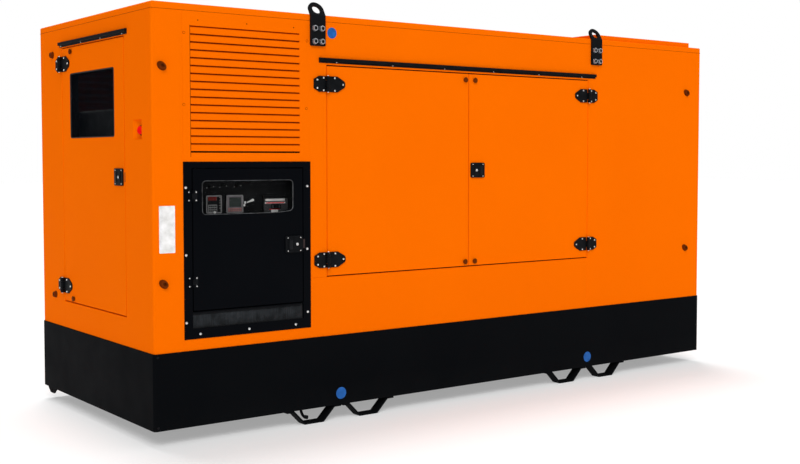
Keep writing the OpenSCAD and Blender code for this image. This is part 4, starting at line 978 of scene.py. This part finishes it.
instruments = {
    "keyGrids": [  # unit, then the field, its columns and rows, the keys' size and rise, then the field's place
        ("controller", (0.048, 0.036, 4, 3, (0.0085, 0.0085), 0.0032), (-0.008, -0.022)),
        ("controller", (0.012, 0.07, 1, 5, (0.008, 0.007), 0.0024), (0.034, 0.004)),
        ("screen", (0.084, 0.02, 6, 2, (0.011, 0.0075), 0.0026), (0, -0.0315)),
    ],
    "ringSteps": 18, "lensSteps": 16,
    "units": {  # middle and lift
        "controller": ((-1.759, 1.244), -0.074), "screen": ((-1.635, 1.244), -0.072),
        "breaker": ((-1.382, 1.244), -0.068), "lever": ((-1.563, 1.250), -0.084),
    },
    "fascia": -0.084,
    "bezel": [(0.0035, 0), (0.003, 0.0022), (-0.002, 0.0022), (-0.0035, 0.0004), (-0.0035, 0)],
    "bezels": {"controller": (0.086, 0.09, 0.004, 4), "screen": (0.096, 0.09, 0.004, 4)},
    "tiles": {  # unit and finish, then the width, height, corner and rise of each tile and its place on the unit
        "controller_display": ("controller", "displayRed", [(0.05, 0.021, 0.0015, 0.0014, -0.010, 0.0315)]),
        "screen_face": ("screen", "mauveGrey", [(0.100, 0.094, 0.004, 0.0012, 0, 0)]),
        "screen_glass": ("screen", "screenGlass", [(0.072, 0.052, 0.002, 0.0022, 0.002, 0.010)]),
        "breaker_cover": ("breaker", "coverGrey", [(0.150, 0.076, 0.004, 0.003, 0, -0.014)]),
        "breaker_stripes": ("breaker", "labelWhite", [
            (0.122, 0.012, 0.002, 0.0046, -0.006, 0.017), (0.128, 0.0085, 0.002, 0.0038, -0.006, 0.001),
            (0.042, 0.014, 0.002, 0.008, -0.011, -0.044),
        ]),
        "breaker_red_line": ("breaker", "buttonRed", [
            (0.118, 0.0055, 0.001, 0.0044, -0.006, 0.001), (0.066, 0.003, 0.001, 0.0036, -0.011, -0.0345),
        ]),
    },
    "keyBed": (0.052, 0.042, 0.003, 0, 0.0018), "keyPlace": (-0.008, -0.022), "keyCorner": 0.0012, "keyFoot": -0.0005,
    "lights": {
        "screw": (0.0016, 0.0016, 8), "lift": 0.0022, "across": 0.034, "up": (0.036, 0.022, 0.008, -0.006, -0.02),
        "knob": [(0.0075, 0), (0.007, 0.006), (0.005, 0.008), (0.0002, 0.0084)], "knobPlace": (0.002, -0.043),
        "knobSteps": 16,
    },
    "toggle": (0.03, 0.016, 0.004, 4), "toggleLevels": [(0, 0), (0.0005, 0.008), (0.003, 0.014), (0.006, 0.016)],
    "toggleFrame": (0.056, 0.024, 0.003, 4), "togglePlace": (0, -0.018), "frameLift": 0.003,
    "lever": [(0, 0, 0.010), (0.012, 0.005, 0.014), (0.028, 0.011, 0.016), (0.040, 0.015, 0.014)],
    "leverRadius": 0.0062, "leverLift": 0.006, "leverSteps": 14,
    "leverThick": ([0, 0.05, 0.4, 0.75, 0.95, 1], [0.35, 0.6, 0.75, 1.15, 1.05, 0.25]),
    "bow": (0.010, 0.013, 0.004, 4), "bowLevels": [(0, 0.012), (0, 0.0135), (0.001, 0.014)],
    "bows": [(-0.009, 0), (-0.014, -0.014)],
    "lamps": [(-1.776, 1.340), (-1.699, 1.342), (-1.612, 1.343)],
    "lampRing": [(0.0125, 0), (0.0125, 0.003), (0.0105, 0.0052), (0.0085, 0.0052), (0.0078, 0.0036), (0.0002, 0.0036)],
    "lampLens": [(0.0072, 0.003), (0.0068, 0.0056), (0.0045, 0.0082), (0.0002, 0.0092)],
    "speck": (0.0022, 0.0014, 8), "specks": ((0.021, -0.001), (-0.019, -0.007)),
}


def onUnit(part, unit, places=((0, 0),), lift=0.0):
    (x, z), depth = instruments["units"][unit]
    return onSide(part, "front", [(x + across, z + up) for across, up in places], depth + lift)


def keyGrid(width, height, columns, rows, size, high):
    x = (np.arange(columns) - (columns - 1) / 2) * width / columns
    z = (np.arange(rows) - (rows - 1) / 2) * height / rows
    shifts = np.stack([np.repeat(x, rows), np.tile(z, columns), np.zeros(columns * rows)], axis=1)
    return copied(tile(*size, instruments["keyCorner"], instruments["keyFoot"], high), shifts)


frames = [
    onUnit(loopOf(instruments["bezel"], roundedOutline(*outline)), unit)
    for unit, outline in instruments["bezels"].items()
]
frames.append(onUnit(tile(*instruments["keyBed"]), "controller", [instruments["keyPlace"]]))
makePiece("instrument_frames", "bezelGrey", frames)
*controllerKeys, screenKeys = [onUnit(keyGrid(*grid), unit, [place]) for unit, grid, place in instruments["keyGrids"]]
makePiece("controller_keys", "instrumentDark", controllerKeys)
makePiece("screen_keys", "keyRose", [screenKeys])
for name, (unit, finish, tiles) in instruments["tiles"].items():
    makePiece(name, finish, [
        onUnit(tile(width, height, corner, 0, rise), unit, [place]) for width, height, corner, rise, *place in tiles
    ])
lights = instruments["lights"]
makePiece("controller_lights", "labelWhite", [
    onUnit(domeScrew(*lights["screw"]), "controller", [(lights["across"], up) for up in lights["up"]], lights["lift"]),
    onUnit(turned(lights["knob"], lights["knobSteps"]), "controller", [lights["knobPlace"]]),
])
togglePlaces = [instruments["togglePlace"]]
toggleFrame = loopOf(instruments["bezel"], roundedOutline(*instruments["toggleFrame"]))
makePiece("breaker_toggle", "instrumentDark", [
    onUnit(slab(*instruments["toggle"], instruments["toggleLevels"]), "breaker", togglePlaces),
    onUnit(toggleFrame, "breaker", togglePlaces, instruments["frameLift"]),
])
steps = instruments["leverSteps"]
thick = np.interp(np.linspace(0, 1, steps), *instruments["leverThick"])
lever = carried(circle(instruments["leverRadius"]), smoothPath(instruments["lever"], steps), (0, 0, 1), thick)
makePiece("switch_lever", "labelWhite", [
    onUnit(lever, "lever", lift=instruments["leverLift"]),
    onUnit(slab(*instruments["bow"], instruments["bowLevels"]), "lever", instruments["bows"]),
])
lamps, fascia = instruments["lamps"], instruments["fascia"]
ring = turned(instruments["lampRing"], instruments["ringSteps"])
makeOn("front", "lamp_rings", "instrumentDark", ring, lamps, fascia)
lens = turned(instruments["lampLens"], instruments["lensSteps"])
makeOn("front", "lamp_lenses", "instrumentDark", lens, lamps, fascia)
# small bright steel dots on both sides of each lamp stand for glints on the lamps: painted highlights
specks = [(x + dx, z + dz) for x, z in lamps for dx, dz in instruments["specks"]]
makeOn("front", "lamp_glint_specks", "screwSteel", domeScrew(*instruments["speck"]), specks, fascia)
print("instruments ready")

# brush across the cable opening: rows of flat bristle tufts, each a little different

brush = {
    "ends": (-1.925, -1.262), "margin": 0.002, "low": 0.602, "high": 0.682, "count": 210, "out": (-0.0105, -0.0075),
    "half": 0.0017, "spread": (0.7, 1.15), "lean": 0.003, "ragged": 0.006, "thick": 0.0008, "seed": 4,
    "waistLean": 0.4, "waistWidth": 1.1, "tipWidth": 0.55,
    "holder": (0.012, 0.002, 3), "holderLevels": [(0, -0.0105), (0, -0.004), (0.001, -0.003)], "holderDrop": 0.004,
}


def brushTufts(settings):
    # each tuft is a thin four-sided blade: its top is fixed, its tip leans and ends where the seed says
    random = np.random.default_rng(settings["seed"])
    count = settings["count"]
    first, last = settings["ends"]
    x = np.linspace(first + settings["margin"], last - settings["margin"], count)
    half = settings["half"] * random.uniform(*settings["spread"], count)
    lean = random.uniform(-settings["lean"], settings["lean"], count)
    tip = settings["low"] + random.uniform(0.0, settings["ragged"], count)
    out = random.uniform(*settings["out"], count)
    corner = np.array([[-1, -1], [1, -1], [1, 1], [-1, 1]])
    waist = (settings["high"] + settings["low"]) / 2
    rings = []
    for height, shift, wide in (
        (settings["high"], 0 * lean, 1.0), (waist, lean * settings["waistLean"], settings["waistWidth"]),
        (tip, lean, settings["tipWidth"]),
    ):
        rings.append(np.stack([
            (x + shift)[:, None] + corner[:, 0] * half[:, None] * wide,
            -halfWidth - out[:, None] + corner[:, 1] * settings["thick"],
            np.broadcast_to(np.broadcast_to(height, count)[:, None], (count, 4)),
        ], axis=-1))
    grid = np.stack(rings, axis=1)  # tuft x ring x corner x 3
    index = np.arange(count * 3 * 4).reshape(count, 3, 4)
    ahead = np.roll(index, -1, axis=2)
    sides = np.stack([index[:, :-1], index[:, 1:], ahead[:, 1:], ahead[:, :-1]], axis=-1).reshape(-1, 4)
    return grid.reshape(-1, 3), np.concatenate([sides, index[:, 0], index[:, 2, ::-1]]).tolist()


makePiece("cable_brush", "brushGrey", [brushTufts(brush)])
first, last = brush["ends"]
holder = slab(last - first, *brush["holder"], brush["holderLevels"])
places = [((first + last) / 2, brush["high"] - brush["holderDrop"])]
makeOn("front", "cable_brush_holder", "fittingBlack", holder, places)
print("brush ready")

# blank plate, plain discs, the painted shadow line left of the louvre blades, base screws, drain pipe and button
# collar

smallWorks = {
    "drainSides": 14, "collarSteps": 28,
    "plate": (0.089, 0.243, 0.004, 0, 0.0009), "platePlaces": [(-2.0665, 1.1245)],
    "discs": [(0.031, [(-1.053, 2.190)], 0.0), (0.034, [(-1.0, 0.151), (0.997, 0.153)], 0.005)],
    "discRise": 0.0008, "discSteps": 28,
    "gap": (0.0026, 0.68, 0.0008, 0, 0.0008), "gapPlaces": [(-1.9290, 1.836)],
    "baseScrew": (0.0065, 0.0035), "baseLift": 0.005,
    "baseScrews": [(-2.128, 0.470), (2.128, 0.470), (-2.128, 0.106), (2.128, 0.106)],
    "drain": [(-1.232, -0.735, 0.090), (-1.232, -0.742, 0.062), (-1.228, -0.762, 0.040), (-1.215, -0.782, 0.036)],
    "drainRadius": 0.008, "drainSteps": 16, "drainThick": ([0, 0.72, 0.78, 1], [1, 1, 1.35, 1.35]),
    "collar": [
        (0.0285, -0.001), (0.0285, 0.002), (0.0262, 0.0036), (0.0245, 0.0036), (0.0235, 0.0024), (0.0126, 0.0024),
        (0.0122, -0.001),
    ],
    "collarPlace": (-2.1198, -0.630, 1.635), "collarTurn": math.atan2(42, 105),  # the slope of the corner panel
}
makeOn("front", "blank_plate", "labelWhite", tile(*smallWorks["plate"]), smallWorks["platePlaces"])
makePiece("plain_discs", "discBlue", [
    onSide(washer(radius, smallWorks["discRise"], smallWorks["discSteps"]), "front", places, lift)
    for radius, places, lift in smallWorks["discs"]
])
# a dark strip on the face, painted where the louvre field's left edge is in shade
makeOn("front", "louvre_end_shadow_line", "plugBrown", tile(*smallWorks["gap"]), smallWorks["gapPlaces"])
makePiece("base_screws", "fittingGloss", [
    onSide(domeScrew(*smallWorks["baseScrew"]), side, smallWorks["baseScrews"], smallWorks["baseLift"])
    for side, sign in bothLongSides
])
steps = smallWorks["drainSteps"]
thick = np.interp(np.linspace(0, 1, steps), *smallWorks["drainThick"])
outline = circle(smallWorks["drainRadius"], smallWorks["drainSides"])
drain = carried(outline, smoothPath(smallWorks["drain"], steps), (1, 0, 0), thick)
makePiece("drain_pipe", "fittingGloss", [drain])
c, s = math.cos(smallWorks["collarTurn"]), math.sin(smallWorks["collarTurn"])
collar = turned(smallWorks["collar"], smallWorks["collarSteps"])
collar = moved(collar, smallWorks["collarPlace"], [[s, 0, -c], [-c, 0, -s], [0, 1, 0]])
makePiece("stop_button_collar", "fittingBlack", [collar])
print("small works ready")

# a painted shadow line under the roof's edge, and a sheet with a rail behind the end window

eave = {
    "height": 2.2495, "line": 0.0015, "corner": 0.0004, "lift": 0.0006,
    "lengths": {"front": 4.286, "back": 4.286, "end": 1.586, "rightEnd": 1.586},
}
# painted shadow: a thin dark brown strip where the roof's edge meets the walls
makePiece("eave_shadow_line", "plugBrown", [
    onSide(tile(length, eave["line"], eave["corner"], -eave["corner"], eave["lift"]), side, [(0, eave["height"])])
    for side, length in eave["lengths"].items()
])
baffle = {
    "inwards": 0.145,
    "sheet": (0.65, 0.268, 0.004, -0.003, 0), "sheetPlaces": [(-0.225, 1.634)],
    "bracket": (0.03, 0.03, 0.003, -0.003, 0.0955), "brackets": [(-0.5, 1.745), (-0.5, 1.525)],
    "rail": (0.49, 0.009, 0.002, 0.082, 0.085), "railPlaces": [(-0.055, 1.757)],
    "arm": (0.005, 0.005, 0.001, 0, 0.083), "arms": [(0.09, 1.757), (-0.29, 1.757)],
    "screw": (0.0045, 0.002, 8), "screws": [(0.06, 1.53), (0.06, 1.72), (-0.22, 1.53), (-0.22, 1.72)],
}


def behindWindow(part, places):
    return onSide(part, "end", places, -baffle["inwards"])


sheet = behindWindow(tile(*baffle["sheet"]), baffle["sheetPlaces"])
makePiece("window_baffle", "baffleGrey", [sheet, behindWindow(tile(*baffle["bracket"]), baffle["brackets"])])
makePiece("window_baffle_screws", "screwSteel", [behindWindow(domeScrew(*baffle["screw"]), baffle["screws"])])
rail = behindWindow(tile(*baffle["rail"]), baffle["railPlaces"])
makePiece("window_baffle_rail", "labelWhite", [rail, behindWindow(tile(*baffle["arm"]), baffle["arms"])])
print("eave and baffle ready")

# roof: screws round the outlet frame and along the lengthwise edges, joint strips across

roof = {
    "frameX": (1.115, 2.015), "frameY": 0.730, "frameTop": 2.319, "along": 7, "across": 6,
    "edgeX": (-2.08, 0.98), "edgeY": 0.752, "top": 2.286, "edgeCount": 11,
    "screw": (0.0075, 0.0042), "strip": (0.036, 1.52, 0.004, 0, 0.0016), "strips": (-1.093, -0.05),
}
y, top = roof["frameY"], roof["frameTop"]
rim = [(x, b, top) for x in np.linspace(*roof["frameX"], roof["along"]) for b in (-y, y)]
rim += [(x, b, top) for x in roof["frameX"] for b in np.linspace(-y, y, roof["across"])[1:-1]]
y, top = roof["edgeY"], roof["top"]
edges = [(x, b, top) for x in np.linspace(*roof["edgeX"], roof["edgeCount"]) for b in (-y, y)]
makePiece("roof_screws", "doorOrange", [copied(domeScrew(*roof["screw"]), rim + edges)])
makePiece("roof_strips", "doorOrange", [copied(tile(*roof["strip"]), [(x, 0, top) for x in roof["strips"]])])
print("roof ready")

# washers that hold the lining inside the doors

linings = {
    "washerSteps": 18,
    "washer": [(0.0225, 0), (0.0225, 0.0008), (0.018, 0.002), (0.006, 0.0026), (0.0048, 0.0048), (0.0002, 0.0052)],
    "columns": 3, "rows": 5, "margin": 0.09,
    "window": (-0.33, 0.35, 1.57, 2.01),  # no washer stands before the end door's window
    "doors": [("front_door_left", "front"), ("front_door_right", "front"), ("end_door", "end")],
}
for door, side in linings["doors"]:
    low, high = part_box(door + "_lining")
    if side == "front":
        first, last, lift = low.x, high.x, -high.y - halfWidth
    else:
        first, last, lift = -high.y, -low.y, -high.x - halfLength
    margin = linings["margin"]
    x = np.linspace(first + margin, last - margin, linings["columns"])
    z = np.linspace(low.z + margin, high.z - margin, linings["rows"])
    left, right, foot, head = linings["window"]
    places = [(a, b) for a in x for b in z if side == "front" or not (left < a < right and foot < b < head)]
    disc = moved(turned(linings["washer"], linings["washerSteps"]), turn=overY)
    makeOn(side, door + "_washers", "fittingGloss", disc, places, lift, door)
print("door insides ready")

# engine bay: pipes, hoses and wiring, every one fixed at both ends

pipes = {  # finish, radius, whether it has clamps, then its way
    "charge_pipe": ("dullSteel", 0.042, True, [
        (-0.435, -0.26, 1.46), (-0.40, -0.30, 1.60), (-0.15, -0.31, 1.66), (0.45, -0.33, 1.68), (0.72, -0.36, 1.71),
        (0.86, -0.36, 1.71),
    ]),
    "intake_pipe": ("dullSteel", 0.036, True, [
        (0.86, -0.50, 1.66), (0.70, -0.50, 1.62), (0.48, -0.40, 1.50), (0.40, -0.28, 1.42), (0.36, -0.205, 1.381),
    ]),
    "coolant_hose": ("sealRubber", 0.028, True, [
        (0.62, 0.08, 1.40), (0.70, 0.10, 1.50), (0.78, 0.14, 1.60), (0.86, 0.16, 1.66),
    ]),
    "lower_hose": ("sealRubber", 0.030, True, [
        (0.60, -0.22, 0.90), (0.68, -0.30, 0.82), (0.78, -0.36, 0.72), (0.86, -0.38, 0.66),
    ]),
    "air_cleaner_pipe": ("sealRubber", 0.048, True, [
        (-0.86, -0.10, 1.80), (-0.70, -0.12, 1.80), (-0.56, -0.20, 1.72), (-0.47, -0.25, 1.60), (-0.46, -0.26, 1.49),
    ]),
    "exhaust_pipe": ("pipeWrap", 0.056, False, [
        (-0.30, 0.20, 1.385), (-0.22, 0.24, 1.62), (-0.05, 0.22, 1.90), (0.35, 0.16, 1.98), (1.05, 0.08, 1.98),
        (1.45, 0.02, 1.86), (1.565, 0.0, 1.55),
    ]),
    "breather_hose": ("sealRubber", 0.014, False, [
        (0.10, 0.0, 1.47), (0.16, -0.12, 1.56), (0.22, -0.26, 1.30), (0.22, -0.28, 0.88),
    ]),
    "fuel_line_feed": ("sealRubber", 0.008, False, [
        (0.33, -0.27, 1.12), (0.42, -0.31, 1.02), (0.46, -0.33, 0.72), (0.46, -0.36, 0.49),
    ]),
    "fuel_line_return": ("sealRubber", 0.008, False, [
        (0.20, -0.26, 1.20), (0.40, -0.33, 1.06), (0.50, -0.34, 0.74), (0.50, -0.36, 0.49),
    ]),
    "wiring_loom": ("pipeWrap", 0.013, False, [
        (-1.05, -0.19, 1.50), (-0.80, -0.26, 1.32), (-0.52, -0.27, 1.24), (-0.10, -0.262, 1.235),
        (0.30, -0.262, 1.235), (0.56, -0.20, 1.26),
    ]),
    "starter_cable": ("sealRubber", 0.010, False, [
        (-1.62, 0.28, 0.72), (-1.30, 0.38, 0.66), (-0.80, 0.36, 0.70), (-0.46, -0.02, 0.66), (-0.36, -0.28, 0.80),
    ]),
}
pipeUp = (0.05, 0.1, 1)
clamps = {"steps": 60, "at": (3, 54), "rise": 0.0025, "sides": 16}


def pipeAlong(points, radius, count=44, sides=14):
    return carried(circle(radius, sides), smoothPath(points, count), pipeUp)


def clampsOn(points, radius):
    # a flat band near each end of the hose, following its path
    path = smoothPath(points, clamps["steps"])
    band = circle(radius + clamps["rise"], clamps["sides"])
    return [carried(band, path[i:i + 3], pipeUp) for i in clamps["at"]]


for name, (finish, radius, clamped, points) in pipes.items():
    makePiece(name, finish, [pipeAlong(points, radius)], sharp=roundSharp)
    if clamped:
        makePiece(name + "_clamps", "screwSteel", clampsOn(points, radius))

injectors = {
    "count": 6, "first": -0.44, "step": 0.185, "radius": 0.0045, "steps": (26, 8),
    "pump": (0.02, -0.265, 1.12), "share": 0.3, "rise": (-0.30, 1.20),
    "way": [(0, -0.29, 1.30), (0.02, -0.235, 1.40), (0.02, -0.165, 1.41)],
}
lines = []
for i in range(injectors["count"]):
    pump, x = injectors["pump"], injectors["first"] + i * injectors["step"]
    rise = (pump[0] + (x - pump[0]) * injectors["share"], *injectors["rise"])
    way = [pump, rise] + [(x + dx, y, z) for dx, y, z in injectors["way"]]
    lines.append(pipeAlong(way, injectors["radius"], *injectors["steps"]))
makePiece("injector_lines", "screwSteel", lines, sharp=roundSharp)
leads = {  # the first lead's way, and how far the next one is along X at each point of it
    "way": [(-1.16, -0.215, 1.38), (-1.20, -0.30, 1.30), (-1.30, -0.42, 1.12), (-1.40, -0.50, 1.06)],
    "apart": (0.05, 0.05, 0.04, 0.04), "count": 4, "radius": 0.011, "steps": (24, 10),
}
ways = [
    [(x + i * apart, y, z) for (x, y, z), apart in zip(leads["way"], leads["apart"])] for i in range(leads["count"])
]
parts = [pipeAlong(way, leads["radius"], *leads["steps"]) for way in ways]
makePiece("power_leads", "sealRubber", parts, sharp=roundSharp)
dipstick = {
    "way": [(0.50, -0.25, 0.90), (0.53, -0.30, 1.02), (0.54, -0.31, 1.24), (0.54, -0.31, 1.36)],
    "radius": 0.006, "steps": (24, 8), "ring": (0.016, 0.003, 20), "top": (0.54, -0.31, 1.372),
}
tube = pipeAlong(dipstick["way"], dipstick["radius"], *dipstick["steps"])
makePiece("dipstick_tube", "screwSteel", [tube], sharp=roundSharp)
print("pipes and leads ready")

# engine bay: turned bodies, each with its profile, steps, turn and places

bodies = {
    "injection_pump": ("dullSteel", 18, toX, [(0.02, -0.285, 1.10)], [
        (0.03, -0.13), (0.052, -0.12), (0.055, -0.02), (0.062, -0.015), (0.062, 0.03), (0.05, 0.035), (0.05, 0.14),
        (0.035, 0.15), (0.0002, 0.15),
    ]),
    "oil_filters": ("labelWhite", 22, None, [(-0.10, -0.315, 0.86), (0.06, -0.315, 0.86)], [
        (0.03, 0), (0.05, 0.004), (0.052, 0.02), (0.052, 0.17), (0.056, 0.175), (0.056, 0.19), (0.045, 0.196),
        (0.0002, 0.196),
    ]),
    "fuel_filters": ("discBlue", 20, None, [(0.22, -0.30, 1.02), (0.34, -0.30, 1.02)], [
        (0.012, -0.014), (0.02, 0), (0.036, 0.006), (0.04, 0.02), (0.04, 0.13), (0.043, 0.135), (0.043, 0.15),
        (0.0002, 0.15),
    ]),
    "air_cleaner": ("enginePaint", 28, toX, [(-1.10, -0.10, 1.80)], [
        (0.05, -0.275), (0.13, -0.27), (0.135, -0.26), (0.135, -0.12), (0.142, -0.115), (0.142, -0.095),
        (0.135, -0.09), (0.135, 0.15), (0.13, 0.165), (0.06, 0.18), (0.052, 0.19), (0.052, 0.26), (0.0002, 0.26),
    ]),
    "starter_motor": ("fittingGloss", 20, toX, [(-0.45, -0.27, 0.80)], [
        (0.03, 0), (0.05, 0.005), (0.056, 0.02), (0.056, 0.22), (0.048, 0.235), (0.03, 0.25), (0.0002, 0.252),
    ]),
    "radiator_cap": ("brightSteel", 18, None, [(0.90, -0.42, 1.866)], [
        (0.02, 0), (0.02, 0.012), (0.036, 0.014), (0.036, 0.026), (0.03, 0.031), (0.0002, 0.031),
    ]),
}
for name, (finish, steps, turn, places, profile) in bodies.items():
    makePiece(name, finish, [copied(moved(turned(profile, steps), turn=turn), places)])

bracket = {"size": (0.26, 0.05, 0.006, -0.006, 0.006), "place": (0.28, -0.285, 1.17)}
makePiece("filter_bracket", "dullSteel", [moved(tile(*bracket["size"]), bracket["place"])])
feet = {"x": (-1.22, -0.98), "y": -0.10, "z": (1.54, 1.60, 1.675), "radius": 0.014, "sides": 8}
makePiece("air_cleaner_feet", "dullSteel", [
    carried(circle(feet["radius"], feet["sides"]), [(x, feet["y"], z) for z in feet["z"]], (1, 0, 0))
    for x in feet["x"]
])

# engine bay: belt, fan guard and bolts

crank = 1.006  # height of the crankshaft, where belt, bell and alternator are centred
fan = 1.216
belt = {"x": 0.722, "pulleys": [(crank, 0.113, 22), (fan, 0.062, 16)], "wide": 0.03, "thick": 0.007}
guard = {
    "sides": 6,
    "x": 0.778, "rings": (0.10, 0.16, 0.22, 0.28, 0.34, 0.40), "wire": 0.0035, "spokes": 12,
    "spokeX": 0.774, "spokeAt": (0.09, 0.24, 0.405),
}


def beltLoop(x, pulleys, wide, thick):
    # two arcs about the pulleys, joined by straight runs; each cross-section point is offset from the path
    (z0, r0, steps0), (z1, r1, steps1) = pulleys
    tilt = math.asin((r0 - r1) / (z1 - z0))
    low = np.linspace(math.pi - tilt, 2 * math.pi + tilt, steps0)
    angles = np.concatenate([low, np.linspace(tilt, math.pi - tilt, steps1)])
    steps = [steps0, steps1]
    middle = np.stack([np.zeros(sum(steps)), np.repeat([z0, z1], steps)], axis=1)
    outward = np.stack([np.cos(angles), np.sin(angles)], axis=1)
    radius = np.repeat([r0, r1], steps)
    return closedTube(np.stack([
        np.column_stack([np.full(sum(steps), x + dx), middle + outward * (radius + dr)[:, None]])
        for dx, dr in ((-wide / 2, 0), (wide / 2, 0), (wide / 2, thick), (-wide / 2, thick))
    ], axis=1))


def wireRing(radius, wire, steps=40, sides=6):
    # a round wire bent into a ring about X
    angle, bend = turns(steps)[:, None], turns(sides)
    reach = radius + wire * np.cos(bend)
    depth = np.broadcast_to(wire * np.sin(bend), (steps, sides))
    return closedTube(np.stack([depth, np.cos(angle) * reach, np.sin(angle) * reach], axis=-1))


def around(x, z, radius, angle):
    return (x, math.cos(angle) * radius, z + math.sin(angle) * radius)


makePiece("fan_belt", "sealRubber", [beltLoop(**belt)])
rings = [moved(wireRing(radius, guard["wire"]), (guard["x"], 0, fan)) for radius in guard["rings"]]
wire = circle(guard["wire"], guard["sides"])
spokes = [
    carried(wire, [around(guard["spokeX"], fan, r, a) for r in guard["spokeAt"]], (1, 0, 0))
    for a in turns(guard["spokes"])
]
makePiece("fan_guard", "fittingGloss", rings + spokes, sharp=roundSharp)
handle = moved(wireRing(*dipstick["ring"]), dipstick["top"])
makePiece("dipstick_handle", "buttonRed", [handle], sharp=roundSharp)

bolts = {
    "bellSides": 6,
    "cover": (0.011, 0.008, 10), "coverX": (-0.53, 0.53, 7), "coverY": (-0.105, 0.105), "coverTop": 1.485,
    "bell": [(0.013, 0), (0.013, 0.008), (0.011, 0.010), (0.0002, 0.010)],
    "bellX": -0.570, "bellRadius": 0.262, "bellCount": 16, "bellStart": 0.1,
    "box": (0.009, 0.006, 10), "boxes": [(x, y, 1.546) for x in (-1.28, -1.05, -0.82) for y in (-0.19, 0.19)],
}
places = [(x, y, bolts["coverTop"]) for x in np.linspace(*bolts["coverX"]) for y in bolts["coverY"]]
makePiece("cover_bolts", "screwSteel", [copied(domeScrew(*bolts["cover"]), places)])
places = [around(bolts["bellX"], crank, bolts["bellRadius"], a) for a in turns(bolts["bellCount"], bolts["bellStart"])]
head = moved(turned(bolts["bell"], bolts["bellSides"]), turn=toMinusX)
makePiece("bell_bolts", "screwSteel", [copied(head, places)], sharp=hexSharp)
makePiece("terminal_box_screws", "screwSteel", [copied(domeScrew(*bolts["box"]), bolts["boxes"])])
print("engine bay ready")

# radiator tubes, the alternator's openings and the batteries

tubes = {"x": 0.838, "y": (-0.585, 0.585, 56), "size": (0.006, 0.004, 0.001, 2), "levels": [(0, 0.60), (0, 1.75)]}
tube = slab(*tubes["size"], tubes["levels"])
makePiece("radiator_tubes", "radiatorBlack", [copied(tube, [(tubes["x"], y, 0) for y in np.linspace(*tubes["y"])])])
vents = {"x": -1.447, "radius": (0.15, 0.24, 4), "count": 14, "bar": (0.024, 0.012)}
bar = oblong(*vents["bar"])
makePiece("alternator_vents", "radiatorBlack", [
    carried(bar, [around(vents["x"], crank, r, a) for r in np.linspace(*vents["radius"])], (1, 0, 0))
    for a in turns(vents["count"])
])
batteries = {
    "postSteps": 12, "strapSteps": 48,
    "places": [(-1.70, 0.20, 0.486), (-1.70, 0.44, 0.486)], "size": (0.34, 0.18, 0.012, 4),
    "battery_cases": ("fittingGloss", [(0.004, 0), (0, 0.01), (0, 0.2), (-0.004, 0.204), (-0.004, 0.212)]),
    "battery_lids": ("coverGrey", [(0.002, 0.212), (0.002, 0.23), (0.008, 0.236)]),
    "post": [(0.009, 0), (0.0085, 0.02), (0.007, 0.022), (0.0002, 0.022)],
    "posts": [(-0.13, 0.055, 0.235), (0.13, 0.055, 0.235)],
    "strap": (0.03, 0.003), "strapX": -1.70,
    "strapWay": [
        (0.10, 0.486), (0.10, 0.686), (0.13, 0.731), (0.32, 0.736), (0.51, 0.731), (0.545, 0.686), (0.545, 0.486),
    ],
}
for name in ("battery_cases", "battery_lids"):
    finish, levels = batteries[name]
    makePiece(name, finish, [moved(slab(*batteries["size"], levels), place) for place in batteries["places"]])
post = turned(batteries["post"], batteries["postSteps"])
makePiece("battery_posts", "screwSteel", [copied(moved(post, at), batteries["posts"]) for at in batteries["places"]])
way = smoothPath([(batteries["strapX"], y, z) for y, z in batteries["strapWay"]], batteries["strapSteps"])
makePiece("battery_strap", "sealRubber", [carried(oblong(*batteries["strap"]), way, (1, 0, 0))])
print("cooler and batteries ready")
